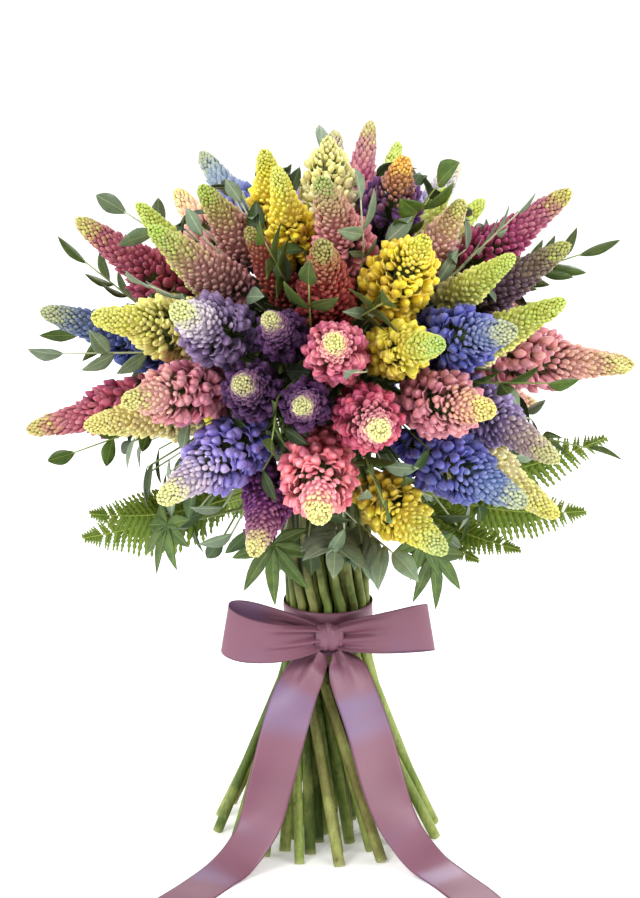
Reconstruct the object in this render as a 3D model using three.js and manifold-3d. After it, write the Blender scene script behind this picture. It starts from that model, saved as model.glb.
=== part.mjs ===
// A hand-tied bouquet of lupins that stands by itself on its level-cut stems.
// Millimetres, +Z up, the front faces -Y. The stems cross at the tie in a spiral, the flower spikes
// radiate from the middle of the head, and the ribbon's two tails come down to the surface.
import * as THREE from "three";
import Module from "manifold-3d";

const wasm = await Module();
wasm.setup();

// Driving sizes
const HEAD_HEIGHT = 393;      // middle of the flower head above the surface
const TIE_LOW = 156;          // lower edge of the ribbon band
const TIE_HIGH = 193;         // upper edge of the ribbon band
const TIE_MIDDLE = (TIE_LOW + TIE_HIGH) / 2;
const HEART_REACH = 104;      // from the middle of the head to the lowest florets of a level spike
const HEART_DROP = 18;        // how much nearer the lowest florets of an upright spike sit
const STEM_REACH = 70;        // where a bare stem ends and the foot of its spike begins
const SEAM = 0.35;            // clearance between two pieces that touch
const SLOT_PITCH = 7.6;       // spacing of the stems in the tie
const TIE_STEM = 3.7;         // radius of a stem squeezed in the tie
const FREE_STEM = 4.4;        // radius of a stem at its cut end
const UPPER_STEM = 3.0;       // radius of a stem inside the head
const FLOOR_SPREAD = 3.0;     // spread of the cut ends, in times the spread at the tie
const SPIRAL_BELOW = 50;      // turn of a stem from the tie to the surface, degrees
const SPIRAL_ABOVE = -30;     // turn of a stem from the tie to the head, degrees
const COLLAR_DROP = 105;      // how far below the middle of the head the greenery leaves the stems
const COLLAR_RADIUS = 58;     // how far out from the axis it leaves them
const BLADE = 0.9;            // thickness of a leaf blade
const SEED = 20817;

// The room that a spike keeps clear round its axis, as a share of its half girth along its length
const PROFILE = [[0, 0.6], [0.12, 0.9], [0.3, 1], [0.5, 0.88], [0.7, 0.68], [0.85, 0.5], [1, 0.28]];

// Each lupin stem: its name and colour, then its spikes as
// [tip heading, tip rise, tip reach, base heading, base rise, girth].
// A heading is 0 toward the front and 90 toward the right, a rise is above the level.
const LUPINS = [
  ["rose_a", 0xa23a5c, [[-79, 30, 228, -88, 18, 46]]],
  ["lime_a", 0xb9bf62, [[-48, 37, 226, -58, 34, 34]]],
  ["blush", 0xd3a29b, [[-36, 29, 240, -38, 30, 42], [-38, 43, 206, -44, 44, 40]]],
  ["peach", 0xdfae8e, [[-122, 42, 186, -112, 44, 42], [-96, 52, 164, -92, 54, 36]]],
  ["blue_a", 0x6f77a4, [[-142, 40, 229, -118, 56, 44]]],
  ["rust_a", 0xa55540, [[-24, 41, 190, -26, 47, 34]]],
  ["yellow_a", 0xe3cc2d, [[-22, 57, 196, -40, 62, 38], [-12, 48, 214, -18, 56, 38]]],
  ["cream_a", 0xe9dfac, [[-2, 62, 200, -5, 72, 46]]],
  ["rose_b", 0xb65a84, [[120, 78, 188, 100, 80, 36]]],
  ["pink_a", 0xd48a95, [[-6, 42, 224, 12, 50, 46]]],
  ["rust_b", 0xa84b38, [[-1, 32, 228, 0, 29, 50]]],
  ["violet", 0x75508c, [[24, 52, 205, 30, 56, 46]]],
  ["lavender", 0x9d8bb8, [[143, 38, 228, 118, 52, 42]]],
  ["pink_b", 0xc97f92, [[40, 43, 200, 52, 38, 40]]],
  ["yellow_c", 0xe6cf1e, [[20, 31, 229, 26, 28, 52]]],
  ["lemon_a", 0xd6d58c, [[125, 22, 225, 108, 32, 34]]],
  ["magenta", 0xa93a6a, [[74, 35, 233, 86, 26, 44]]],
  ["dusk", 0x80506e, [[60, 27, 228, 80, 22, 42]]],
  ["lime_b", 0xc3c874, [[38, 25, 228, 48, 25, 34], [47, 18, 236, 64, 15, 40]]],
  ["blue_b", 0x646ba6, [[32, 12, 238, 36, 18, 50]]],
  ["pink_c", 0xd99497, [[71, 2, 246, 84, 2, 50]]],
  ["yellow_d", 0xd9c93c, [[19, 12, 243, 13, 10, 42]]],
  ["rosette", 0xcf6f87, [[-1, 13, 230, -1, 12, 46]]],
  ["crimson_a", 0xb8435f, [[8, -1, 245, 10, -2, 48]]],
  ["dusty_a", 0xb9788a, [[28, 3, 243, 30, -3, 50]]],
  ["lilac_a", 0xa892b6, [[46, -12, 238, 66, -12, 44]]],
  ["blue_c", 0x6669a8, [[37, -18, 240, 26, -26, 52]]],
  ["cream_b", 0xe8dd9d, [[54, -24, 234, 66, -24, 46]]],
  ["yellow_e", 0xdccb35, [[25, -25, 232, 30, -38, 46]]],
  ["salmon", 0xd8808a, [[-2, -17, 240, -8, -22, 56]]],
  ["purple_a", 0x6a3f6a, [[-15, -27, 230, -26, -40, 44]]],
  ["lilac_b", 0x8d84b8, [[-32, -16, 240, -30, -14, 50]]],
  ["cream_c", 0xe3d183, [[-46, -4, 240, -62, -14, 44]]],
  ["crimson_b", 0x97405c, [[-80, -12, 245, -84, -14, 46]]],
  ["dusty_b", 0xc58f97, [[-36, 2, 243, -39, 1, 48]]],
  ["lemon_b", 0xe0d37f, [[-46, 14, 240, -52, 12, 48]]],
  ["blue_d", 0x414a82, [[-66, 13, 241, -76, 6, 46]]],
  ["mauve", 0x8f7389, [[-27, 18, 238, -31, 17, 52]]],
  ["plum", 0x5b3553, [[-10, 17, 226, -16, 15, 38], [-14, 7, 216, -22, 3, 44], [-5, 5, 228, -8, 2, 38]]],
  ["back_pink", 0xcf8c99, [[126, 4, 228, 122, 4, 46], [104, 10, 184, 104, 8, 40],
    [106, -16, 186, 106, -14, 40]]],
  ["back_blue", 0x5c639f, [[152, 6, 240, 152, 4, 46], [136, -18, 226, 138, -18, 46],
    [166, -20, 232, 166, -18, 46], [163, 26, 215, 160, 28, 44]]],
  ["back_rose", 0xb0557a, [[178, 6, 242, 178, 6, 46], [-158, 6, 240, -158, 6, 46],
    [-168, -20, 232, -168, -18, 46]]],
  ["back_yellow", 0xdccb45, [[-134, -4, 236, -134, -4, 46], [-144, -28, 222, -146, -26, 42],
    [-120, -22, 190, -120, -20, 36]]],
  ["back_cream", 0xe6dba6, [[-108, 4, 186, -106, 4, 40], [-138, 20, 228, -122, 24, 34],
    [-112, 24, 188, -106, 26, 36]]],
  ["back_violet", 0x7a5a96, [[-166, 30, 230, -166, 30, 46], [176, 60, 196, 176, 62, 42],
    [-136, 60, 160, -132, 62, 38]]],
  ["back_lime", 0xbfc46b, [[116, 40, 180, 112, 42, 34], [96, 54, 164, 92, 56, 34],
    [155, 46, 212, 120, 60, 32]]],
];

// ---------------------------------------------------------------- plain vector helpers
const rad = THREE.MathUtils.degToRad;
const V = (x, y, z) => new THREE.Vector3(x, y, z);
const HEAD = V(0, 0, HEAD_HEIGHT);
const UPWARD = V(0.02, 0.03, 1);   // a reference that no stem or spike lies along

function direction(heading, rise) {
  const h = rad(heading);
  const r = rad(rise);
  return V(Math.sin(h) * Math.cos(r), -Math.cos(h) * Math.cos(r), Math.sin(r));
}

function share(table, s) {
  const i = table.findIndex(([at]) => s <= at);
  if (i <= 0) return table[Math.max(i, 0)][1];
  const [a, x] = table[i - 1];
  const [b, y] = table[i];
  return x + (y - x) * (s - a) / (b - a);
}

function frameAcross(along, up) {
  const side = V(0, 0, 0).crossVectors(along, up);
  if (side.lengthSq() < 1e-6) side.crossVectors(along, V(1, 0, 0));
  side.normalize();
  return [side, V(0, 0, 0).crossVectors(side, along).normalize()];
}

let randomState = SEED;
function random() {
  randomState = (randomState * 1664525 + 1013904223) % 4294967296;
  return randomState / 4294967296;
}

// ---------------------------------------------------------------- solids from rings of points
function solid(points, faces) {
  let volume = 0;
  for (const [a, b, c] of faces) {
    volume += points[a].dot(V(0, 0, 0).crossVectors(points[b], points[c])) / 6;
  }
  const turned = volume < 0 ? faces.map(([a, b, c]) => [a, c, b]) : faces;
  const vertProperties = new Float32Array(points.flatMap((p) => [p.x, p.y, p.z]));
  const triVerts = new Uint32Array(turned.flat());
  return new wasm.Manifold(new wasm.Mesh({ numProp: 3, vertProperties, triVerts }));
}

// Rings run from one end to the other. A ring of one point closes that end, others get a fan cap, and
// the later of two unequal rings has more points. cutOther(ring, corner) picks the patches that are
// split along their other diagonal.
function skin(rings, cutOther = () => false) {
  const points = rings.flat();
  const starts = rings.map((_, j) => rings.slice(0, j).reduce((sum, ring) => sum + ring.length, 0));
  const faces = [];
  for (let j = 0; j + 1 < rings.length; j += 1) {
    const [few, many] = [rings[j].length, rings[j + 1].length];
    const near = (k) => starts[j] + (k % few);
    const far = (k) => starts[j + 1] + (k % many);
    if (many === 1) {
      for (let k = 0; k < few; k += 1) faces.push([near(k), near(k + 1), far(0)]);
    } else if (few < many) {
      for (let k = 0; k < many; k += 1) {
        const [from, to] = [Math.floor((k * few) / many), Math.floor(((k + 1) * few) / many)];
        faces.push([near(from), far(k + 1), far(k)]);
        if (from !== to && few > 1) faces.push([near(from), near(to), far(k + 1)]);
      }
    } else {
      for (let k = 0; k < few; k += 1) {
        const corners = [near(k), near(k + 1), far(k + 1), far(k)];
        if (cutOther(j, k)) corners.push(corners.shift());
        faces.push([corners[0], corners[1], corners[2]], [corners[0], corners[2], corners[3]]);
      }
    }
  }
  const cap = (start, n, turned) => {
    for (let k = 1; k + 1 < n; k += 1) {
      faces.push(turned ? [start, start + k + 1, start + k] : [start, start + k, start + k + 1]);
    }
  };
  cap(starts[0], rings[0].length, true);
  cap(starts.at(-1), rings.at(-1).length, false);
  return solid(points, faces);
}

function ringAround(centre, along, radius, sides, turn = 0, over = UPWARD) {
  const [side, up] = frameAcross(along, over);
  return Array.from({ length: sides }, (_, k) => {
    const a = turn + (2 * Math.PI * k) / sides;
    return centre.clone().addScaledVector(side, radius * Math.cos(a))
      .addScaledVector(up, radius * Math.sin(a));
  });
}

// ---------------------------------------------------------------- where each spike stands
// The spikes start as listed and push each other apart until none crosses a neighbour.
const SAMPLES = 9;            // balls along a spike that stand for it
const ROUNDS = 160;
const ELBOW_ROOM = 1.5;       // clear space wanted between two spikes
const PUSH = 0.1;             // share of an overlap that one round takes away at either end

const spikes = LUPINS.flatMap(([stem, , list]) => list.map(([h, r, reach, bh, br, girth]) => ({
  stem,
  girth,
  tip: direction(h, r).multiplyScalar(reach),
  base: direction(bh, br).multiplyScalar(HEART_REACH - HEART_DROP * Math.max(0, Math.sin(rad(br)))),
})));

function ballsOf(spike) {
  return Array.from({ length: SAMPLES }, (_, i) => {
    const s = i / (SAMPLES - 1);
    return { s, at: spike.base.clone().lerp(spike.tip, s), radius: (spike.girth / 2) * share(PROFILE, s) };
  });
}

function settle() {
  for (let round = 0; round < ROUNDS; round += 1) {
    const balls = spikes.map(ballsOf);
    const moves = spikes.map(() => [V(0, 0, 0), V(0, 0, 0)]);
    let worst = 0;
    for (let i = 0; i < spikes.length; i += 1) {
      for (let j = i + 1; j < spikes.length; j += 1) {
        for (const p of balls[i]) {
          for (const q of balls[j]) {
            const apart = p.at.clone().sub(q.at);
            const over = p.radius + q.radius + ELBOW_ROOM - apart.length();
            if (over <= 0) continue;
            worst = Math.max(worst, over);
            apart.setLength(over);
            moves[i][0].addScaledVector(apart, 1 - p.s);
            moves[i][1].addScaledVector(apart, p.s);
            moves[j][0].addScaledVector(apart, q.s - 1);
            moves[j][1].addScaledVector(apart, -q.s);
          }
        }
      }
    }
    spikes.forEach((spike, i) => {
      spike.base.addScaledVector(moves[i][0], PUSH);
      spike.tip.addScaledVector(moves[i][1], PUSH);
    });
    if (worst < 0.2) break;
  }
}
settle();

// ---------------------------------------------------------------- flower spikes
// Share of a spike's half girth at the florets' outer ends, which draw in sooner than the room it keeps
const TAPER = [[0, 0.6], [0.12, 0.95], [0.3, 1], [0.45, 0.83], [0.62, 0.6], [0.8, 0.42], [1, 0.25]];
const FLORET_RECESS = 0.64;   // depth of the grooves between florets, as a share of the half girth
const FLORET_NOD = 0.3;       // how far a floret leans toward the tip, in rows
const ROW_TWIST = 0.16;       // turn of each row against the last, radians
const FRONT_FLORETS = [5, 5]; // florets round and rows along a spike that faces the front
const BACK_FLORETS = [4, 5];
const FOOT_RADIUS = 3;

function spikeSolid(spike, root) {
  const [around, rows] = spike.stem.startsWith("back") ? BACK_FLORETS : FRONT_FLORETS;
  const axis = spike.tip.clone().sub(spike.base);
  const along = axis.clone().normalize();
  const [side, up] = frameAcross(along, UPWARD);
  const rings = [ringAround(root, root.clone().normalize(), FOOT_RADIUS, 3, 0, up)];
  for (let j = 0; j < rows; j += 1) {
    const s = (j + 0.25) / rows;
    const ring = [];
    for (let k = 0; k < 2 * around; k += 1) {
      const raised = (j + k) % 2 === 0;
      const radius = (spike.girth / 2) * share(TAPER, s) * (raised ? 1 : FLORET_RECESS);
      const a = (Math.PI * k) / around + ROW_TWIST * j;
      const lean = raised ? FLORET_NOD / rows : 0;
      ring.push(spike.base.clone().addScaledVector(axis, s + lean)
        .addScaledVector(side, radius * Math.cos(a)).addScaledVector(up, radius * Math.sin(a)));
    }
    rings.push(ring);
  }
  rings.push([spike.tip.clone()]);
  return skin(rings, (j, k) => (j + k) % 2 === 1);
}

// ---------------------------------------------------------------- leaves, and ways between the spikes
const LEAF_CLEAR = 1;         // clear space between a leaf's middle line and its own half width
const BEND_ROUNDS = 80;
const STALK_RADIUS = 1;
const AXIS_STEPS = 24;

// How far a point lies from the nearest floret surface, and the way straight out from it
function nearestSpike(point) {
  let best = { clear: Infinity, out: V(0, 0, 1) };
  for (const spike of spikes) {
    for (let i = 0; i <= AXIS_STEPS; i += 1) {
      const s = i / AXIS_STEPS;
      const out = point.clone().sub(spike.base.clone().lerp(spike.tip, s));
      const clear = out.length() - (spike.girth / 2) * share(PROFILE, s);
      if (clear < best.clear) best = { clear, out: out.normalize() };
    }
  }
  return best;
}

// Bends a row of points clear of the spikes. The first point stays, and so does the row's evenness.
function bendClear(row, wanted) {
  const points = row.map((p) => p.clone());
  for (let round = 0; round < BEND_ROUNDS; round += 1) {
    for (let i = 1; i < points.length; i += 1) {
      const { clear, out } = nearestSpike(points[i]);
      if (clear < wanted[i]) points[i].addScaledVector(out, Math.min(3, (wanted[i] - clear) * 0.5));
    }
    for (let i = 1; i + 1 < points.length; i += 1) {
      const middle = points[i - 1].clone().add(points[i + 1]).multiplyScalar(0.5);
      points[i].lerp(middle, 0.12);
    }
  }
  return points;
}

function along(points, i) {
  const from = points[Math.max(0, i - 1)];
  return points[Math.min(points.length - 1, i + 1)].clone().sub(from).normalize();
}

// A leaf blade: a closed lens-shaped strip whose two faces are split alike
function blade(points, halfWidths, facing, rib = BLADE / 2) {
  const rings = points.map((point, i) => {
    const way = along(points, i);
    const [side, up] = frameAcross(way, facing);
    const half = halfWidths[i];
    if (half === 0) return [point.clone()];
    return [
      point.clone().addScaledVector(side, -half),
      point.clone().addScaledVector(up, rib),
      point.clone().addScaledVector(side, half),
      point.clone().addScaledVector(up, -rib),
    ];
  });
  return skin(rings, (j, k) => k % 2 === 1);
}

function stalk(points, radius = STALK_RADIUS) {
  return skin(points.map((point, i) => ringAround(point, along(points, i), radius, 3)));
}

const LEAF_BELLY = 0.42;      // where a leaf is widest along its length
const LEAF_DROOP = 0.12;      // how far a leaf's tip hangs back, as a share of its length

function leaf(from, way, facing, length, halfWidth) {
  const at = (s) => from.clone().addScaledVector(way, length * s)
    .addScaledVector(facing, -LEAF_DROOP * length * s * s);
  const points = [from.clone(), at(LEAF_BELLY), at(1)];
  const [belly, tip] = points.slice(1).map((point) => nearestSpike(point).clear);
  const blocked = belly < halfWidth + LEAF_CLEAR || tip < LEAF_CLEAR;
  return blocked ? null : blade(points, [0, halfWidth, 0], facing);
}

// A sprig that grows from a lupin's foot inside the head and shows its leaves between the spikes:
// [lupin, tip heading, tip rise, tip reach, leaves, leaf length, leaf half width]
const SPRIGS = [
  ["lime_a", -62, 36, 214, 3, 34, 7],
  ["rose_a", -84, 6, 200, 4, 30, 5],
  ["blue_d", -88, 22, 206, 4, 30, 5],
  ["mauve", -40, 22, 218, 3, 30, 8],
  ["rust_a", -14, 32, 222, 3, 34, 8],
  ["plum", -4, 24, 226, 3, 32, 7],
  ["pink_a", 8, 42, 218, 3, 32, 6],
  ["rust_b", 10, 20, 228, 3, 34, 8],
  ["violet", 30, 44, 222, 3, 32, 10],
  ["pink_b", 52, 36, 220, 4, 26, 4],
  ["lemon_a", 92, 22, 216, 5, 34, 5],
  ["dusty_a", 44, 3, 232, 3, 28, 7],
  ["yellow_d", 4, 8, 234, 2, 24, 6],
  ["rosette", -10, -4, 232, 3, 26, 7],
  ["crimson_a", 10, -16, 234, 3, 28, 8],
  ["lemon_b", -60, 6, 232, 3, 28, 7],
  ["cream_c", -62, -14, 226, 3, 26, 6],
  ["cream_b", 66, -14, 226, 3, 28, 6],
  ["back_rose", 168, -8, 226, 2, 34, 8],
  ["back_blue", 142, 6, 226, 2, 34, 8],
  ["back_yellow", -146, -12, 226, 2, 34, 8],
  ["back_violet", -178, 44, 214, 2, 34, 8],
];
const SPRIG_START = 0.55;     // where the first leaf leaves a sprig's stalk
const LEAF_ANGLE = 42;        // between a sprig and its side leaves, degrees

function sprig(root, tip, count, length, halfWidth, middle = null, shown = null) {
  const steps = 5;
  const route = middle ? new THREE.QuadraticBezierCurve3(root, middle, tip) : new THREE.LineCurve3(root, tip);
  const wanted = Array.from({ length: steps + 1 }, (_, i) => (i < steps * 0.6 ? 2.2 : 6));
  const points = bendClear(route.getPoints(steps), wanted);
  let body = stalk(points);
  const curve = new THREE.CatmullRomCurve3(points);
  for (let i = 0; i < count; i += 1) {
    const s = i === count - 1 ? 0.985 : SPRIG_START + ((0.95 - SPRIG_START) * i) / Math.max(1, count - 1);
    const from = curve.getPoint(s);
    const way = curve.getTangent(s);
    const facing = frameAcross(way, shown ?? nearestSpike(from).out)[1];
    const sideways = frameAcross(way, facing)[0].multiplyScalar(i === count - 1 ? 0 : (i % 2 ? 1 : -1));
    const out = way.clone().multiplyScalar(Math.cos(rad(LEAF_ANGLE)));
    out.addScaledVector(sideways, Math.sin(rad(LEAF_ANGLE))).normalize();
    for (const scale of [1, 0.8, 0.6]) {
      const piece = leaf(from, out, facing, length * scale, halfWidth * scale);
      if (piece) {
        body = body.add(piece);
        break;
      }
    }
  }
  return body;
}

// A fern frond: one thin arched blade whose edge is cut to the rib between the leaflets
const LEAFLETS = 9;
const FROND_CUT = 0.24;       // half width left between two leaflets, as a share of theirs
const FROND_TAPER = [[0, 0.55], [0.15, 0.92], [0.35, 1], [0.6, 0.8], [0.85, 0.4], [1, 0.12]];

// Which way the upper face of a frond looks, in front of the sides and behind them
const FROND_FACES = { front: V(0, -1, 0.45), back: V(0, 1, 0.45) };
const FROND_SIDES = 120;      // the heading beyond which a frond counts as behind

function frond(root, middle, tip, halfWidth) {
  const facing = Math.abs(tip[0]) < FROND_SIDES ? FROND_FACES.front : FROND_FACES.back;
  const route = new THREE.QuadraticBezierCurve3(root, place(middle), place(tip));
  const steps = 2 * LEAFLETS;
  const cuts = Array.from({ length: steps }, (_, i) => route.getPoint(0.2 + (0.8 * i) / steps));
  const points = [root.clone(), ...cuts, place(tip)];
  const widths = points.map((_, i) => {
    if (i === 0) return STALK_RADIUS;
    const full = halfWidth * share(FROND_TAPER, (i - 1) / steps);
    return i % 2 === 0 ? full : Math.max(1.2, full * FROND_CUT);
  });
  return blade(points, widths, facing, BLADE * 0.8);
}

// ---------------------------------------------------------------- greenery round the neck of the head
// A stub of stem ends at the collar, and what grows on begins just past it
function collar(name, heading, middles) {
  const end = direction(heading, 0).multiplyScalar(COLLAR_RADIUS).add(V(0, 0, -COLLAR_DROP));
  const ways = middles.map((middle) => place(middle).sub(end).normalize());
  const way = ways.reduce((sum, one) => sum.add(one), V(0, 0, 0)).normalize();
  collarEnds.push({ name, way, end });
  return end.clone().addScaledVector(way, 2 * SEAM);
}
const place = ([heading, rise, reach]) => direction(heading, rise).multiplyScalar(reach);

// Fronds that fork from one stem: the stem's heading, then each frond's middle, tip and half width, with
// middle and tip as [heading, rise, reach]
const FERNS = {
  fern_left: [-84, [[-94, -48, 186], [-90, -37, 248], 22], [[-74, -46, 178], [-72, -30, 226], 18]],
  fern_right: [98, [[88, -46, 184], [88, -31, 242], 20], [[100, -38, 180], [94, -17, 236], 20]],
  fern_low_right: [68, [[68, -56, 160], [62, -39, 218], 14], [[60, -60, 152], [54, -45, 204], 12]],
  fern_back: [-165, [[178, -50, 180], [176, -40, 248], 17], [[-146, -52, 178], [-140, -42, 240], 16]],
};

// Leafy stems that fork the same way, with the number of leaves, their length and half width after the tip
const GREENS = {
  leaves_front: [8, [[16, -62, 136], [20, -41, 190], 5, 40, 8], [[-6, -62, 136], [2, -43, 182], 5, 36, 7]],
  leaves_back: [140,
    [[154, -58, 160], [154, -44, 214], 6, 46, 8], [[128, -56, 160], [132, -44, 214], 5, 42, 7]],
};

// Palmate leaves on stalks that fork the same way, with the leaflets of each, their length and half width
const PALMS = {
  leaves_low_left: [-42,
    [[-34, -64, 134], [-21, -47, 172], 7, 46, 6], [[-56, -58, 145], [-56, -38, 190], 7, 40, 6]],
  leaves_low_right: [42,
    [[46, -64, 140], [38, -46, 186], 7, 44, 6], [[32, -54, 140], [30, -40, 180], 6, 34, 5]],
};
const PALM_FAN = 230;         // from the first leaflet of a palmate leaf to its last, degrees

function palm(root, middle, hub, count, length, halfWidth) {
  const route = new THREE.QuadraticBezierCurve3(root, place(middle), place(hub));
  const points = bendClear(route.getPoints(4), [2, 2, 3, 5, 6]);
  const [side, facing] = frameAcross(along(points, points.length - 1), direction(hub[0], 0));
  const way = along(points, points.length - 1);
  const centre = points.at(-1).clone().addScaledVector(way, -1.2);
  const leaflets = Array.from({ length: count }, (_, i) => {
    const a = rad(PALM_FAN * (i / (count - 1) - 0.5));
    const out = way.clone().multiplyScalar(Math.cos(a)).addScaledVector(side, Math.sin(a));
    return leaf(centre, out, facing, length * (0.75 + 0.25 * Math.cos(a)), halfWidth);
  });
  return join([stalk(points), ...leaflets.filter(Boolean)]);
}

const greenery = new Map();
const collarEnds = [];
const join = (parts) => parts.reduce((sum, part) => sum.add(part));

for (const [name, [heading, ...fronds]] of Object.entries(FERNS)) {
  const root = collar(name, heading, fronds.map(([middle]) => middle));
  greenery.set(name, join(fronds.map(([middle, tip, halfWidth]) => (
    frond(root, middle, tip, halfWidth)))));
}
for (const [name, [heading, ...stems]] of Object.entries(GREENS)) {
  const root = collar(name, heading, stems.map(([middle]) => middle));
  greenery.set(name, join(stems.map(([middle, tip, count, length, halfWidth]) => (
    sprig(root, place(tip), count, length, halfWidth, place(middle), direction(tip[0], 0))))));
}
for (const [name, [heading, ...palms]] of Object.entries(PALMS)) {
  const root = collar(name, heading, palms.map(([middle]) => middle));
  greenery.set(name, join(palms.map((row) => palm(root, ...row))));
}

const stemEnds = [];
const lupinSolids = new Map();
for (const [name] of LUPINS) {
  const own = spikes.filter((spike) => spike.stem === name);
  const way = own.reduce((sum, spike) => sum.add(spike.base), V(0, 0, 0)).normalize();
  stemEnds.push({ name, way });
  const root = way.clone().multiplyScalar(STEM_REACH + SEAM);
  const parts = own.map((spike) => spikeSolid(spike, root));
  for (const [, heading, rise, reach, count, length, halfWidth] of SPRIGS.filter(([host]) => host === name)) {
    const start = way.clone().multiplyScalar(STEM_REACH + 4);
    parts.push(sprig(start, place([heading, rise, reach]), count, length, halfWidth));
  }
  lupinSolids.set(name, join(parts));
}

// ---------------------------------------------------------------- stems, spiralled through the tie
const SLOTS = [1, 6, 12, 18, 24];      // places round the middle of the tie, ring by ring
const BINDING_LOW = 159;               // the hidden binding that presses the stems into one bundle
const BINDING_HIGH = 190;
const BINDING_RADIUS = 35;
const BAND_SIDES = 16;                 // sides of the binding and of the ribbon band round it
const STEM_SIDES = 4;
const SLANT = 0.013;                   // how much a stem leans round the bundle above the tie, per mm out
const REACH_ABOVE = 0.26;              // how straight a stem leaves the tie and enters the head
const STEM_BEND = 0.55;                // where the one ring between the tie and the head stands

// Upright stems take the middle of the tie, level ones the next rings, and the greenery the outside.
const ends = stemEnds.map(({ name, way }) => ({
  name, way, end: way.clone().multiplyScalar(STEM_REACH).add(HEAD), rank: -way.z,
}));
for (const { name, way, end } of collarEnds) ends.push({ name, way, end: end.clone().add(HEAD), rank: 2 });
ends.sort((a, b) => a.rank - b.rank);

const headingOf = (v) => THREE.MathUtils.radToDeg(Math.atan2(v.x, -v.y));
const fullTurn = (degrees) => ((degrees % 360) + 360) % 360;
const level = (heading, radius, z) => direction(heading, 0).multiplyScalar(radius).add(V(0, 0, z));

// A tube whose corners follow its bends without a twist
function tube(points, ways, radii, sides) {
  const side = V(-1, 0, 0);
  return skin(points.map((point, i) => {
    side.addScaledVector(ways[i], -side.dot(ways[i])).normalize();
    const up = V(0, 0, 0).crossVectors(side, ways[i]);
    return Array.from({ length: sides }, (_, k) => {
      const a = (2 * Math.PI * k) / sides;
      return point.clone().addScaledVector(side, radii[i] * Math.cos(a))
        .addScaledVector(up, radii[i] * Math.sin(a));
    });
  }));
}

function stemSolid({ end, way }, heading, slotRadius) {
  const spread = slotRadius * FLOOR_SPREAD + (random() - 0.5) * 6;
  const foot = level(heading + SPIRAL_BELOW + (random() - 0.5) * 6, Math.max(0, spread), 0);
  const low = level(heading, slotRadius, TIE_LOW - 2);
  const high = level(heading, slotRadius, TIE_HIGH + 2);
  const span = high.distanceTo(end) * REACH_ABOVE;
  const leave = V(0, 0, 1).add(level(heading - 90, slotRadius * SLANT, 0));
  const route = new THREE.CubicBezierCurve3(high, high.clone().addScaledVector(leave, span),
    end.clone().addScaledVector(way, -span), end);
  const points = [foot, low, high, route.getPoint(STEM_BEND), end];
  const upright = V(0, 0, 1);
  const ways = [upright, upright, upright, route.getTangent(STEM_BEND), way];
  return tube(points, ways, [FREE_STEM, TIE_STEM, TIE_STEM, UPPER_STEM, UPPER_STEM], STEM_SIDES);
}

function stemsSolid() {
  const parts = [];
  let taken = 0;
  SLOTS.forEach((count, ring) => {
    const group = ends.slice(taken, taken + count);
    taken += count;
    const places = Array.from({ length: group.length }, (_, k) => (k * 360) / Math.max(1, group.length));
    const wanted = group.map((item) => ({
      item, at: fullTurn(headingOf(item.end.clone().sub(HEAD)) - SPIRAL_ABOVE),
    }));
    wanted.sort((a, b) => a.at - b.at);
    wanted.forEach(({ item }, k) => parts.push(stemSolid(item, places[k], ring * SLOT_PITCH)));
  });
  const binding = skin([BINDING_LOW, BINDING_HIGH].map((z) => Array.from({ length: BAND_SIDES }, (_, k) => (
    level((k * 360) / BAND_SIDES, BINDING_RADIUS, z)))));
  return join([binding, ...parts]);
}

// ---------------------------------------------------------------- satin ribbon
const BAND_INNER = 35.4;
const CLOTH = 1.2;            // thickness of the ribbon's solids
const RIBBON_WIDTH = 38;

function bandSolid() {
  const outer = BAND_INNER + CLOTH;
  const section = [[BAND_INNER, TIE_LOW], [outer, TIE_LOW], [outer, TIE_HIGH], [BAND_INNER, TIE_HIGH]];
  const ring = (heading) => section.map(([radius, z]) => level(heading, radius, z));
  const half = (start) => skin(Array.from({ length: BAND_SIDES / 2 + 1 }, (_, k) => (
    ring(start + (k * 360) / BAND_SIDES))));
  return half(0).add(half(180));
}

// A strip of cloth along a row of [middle, half width, way across]
function strip(stations) {
  const middles = stations.map(([middle]) => middle);
  return skin(stations.map(([middle, half, across], i) => {
    const out = V(0, 0, 0).crossVectors(along(middles, i), across).normalize().multiplyScalar(CLOTH / 2);
    const [low, high] = [-half, half].map((w) => middle.clone().addScaledVector(across, w));
    return [low.clone().sub(out), high.clone().sub(out), high.clone().add(out), low.clone().add(out)];
  }));
}

const KNOT_SIZE = [13, 7, 12];        // the knot's half width, half depth and half height
const KNOT = V(0, -(BAND_INNER + CLOTH + SEAM + KNOT_SIZE[1]), TIE_MIDDLE);
const LOOP_REACH = 82;                // from the knot's middle to the end of a loop
const LOOP_DEPTH = 15;                // half depth of a loop
const LOOP_LIFT = 8;                  // how far a loop's end stands above the knot's middle

function loopSolid(sign) {
  const count = 11;
  return strip(Array.from({ length: count }, (_, i) => {
    const t = (2 * Math.PI * i) / (count - 1);
    const out = (1 - Math.cos(t)) / 2;
    const deep = LOOP_DEPTH * Math.sin(t) * (0.25 + 0.75 * out);
    const middle = KNOT.clone().add(V(sign * (4 + (LOOP_REACH - 4) * out), deep, LOOP_LIFT * out * out));
    return [middle, 6 + (RIBBON_WIDTH / 2 - 5) * Math.sqrt(out), V(0, 0, 1)];
  }));
}

function knotSolid() {
  const [wide, deep, tall] = KNOT_SIZE;
  const rows = [[-1, 0.7], [-0.5, 1], [0.5, 1], [1, 0.7]];
  return skin(rows.map(([u, scale]) => Array.from({ length: 8 }, (_, k) => {
    const a = (Math.PI * (k + 0.5)) / 4;
    return KNOT.clone().add(V(wide * u, deep * scale * Math.sin(a), tall * scale * Math.cos(a)));
  })));
}

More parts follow.
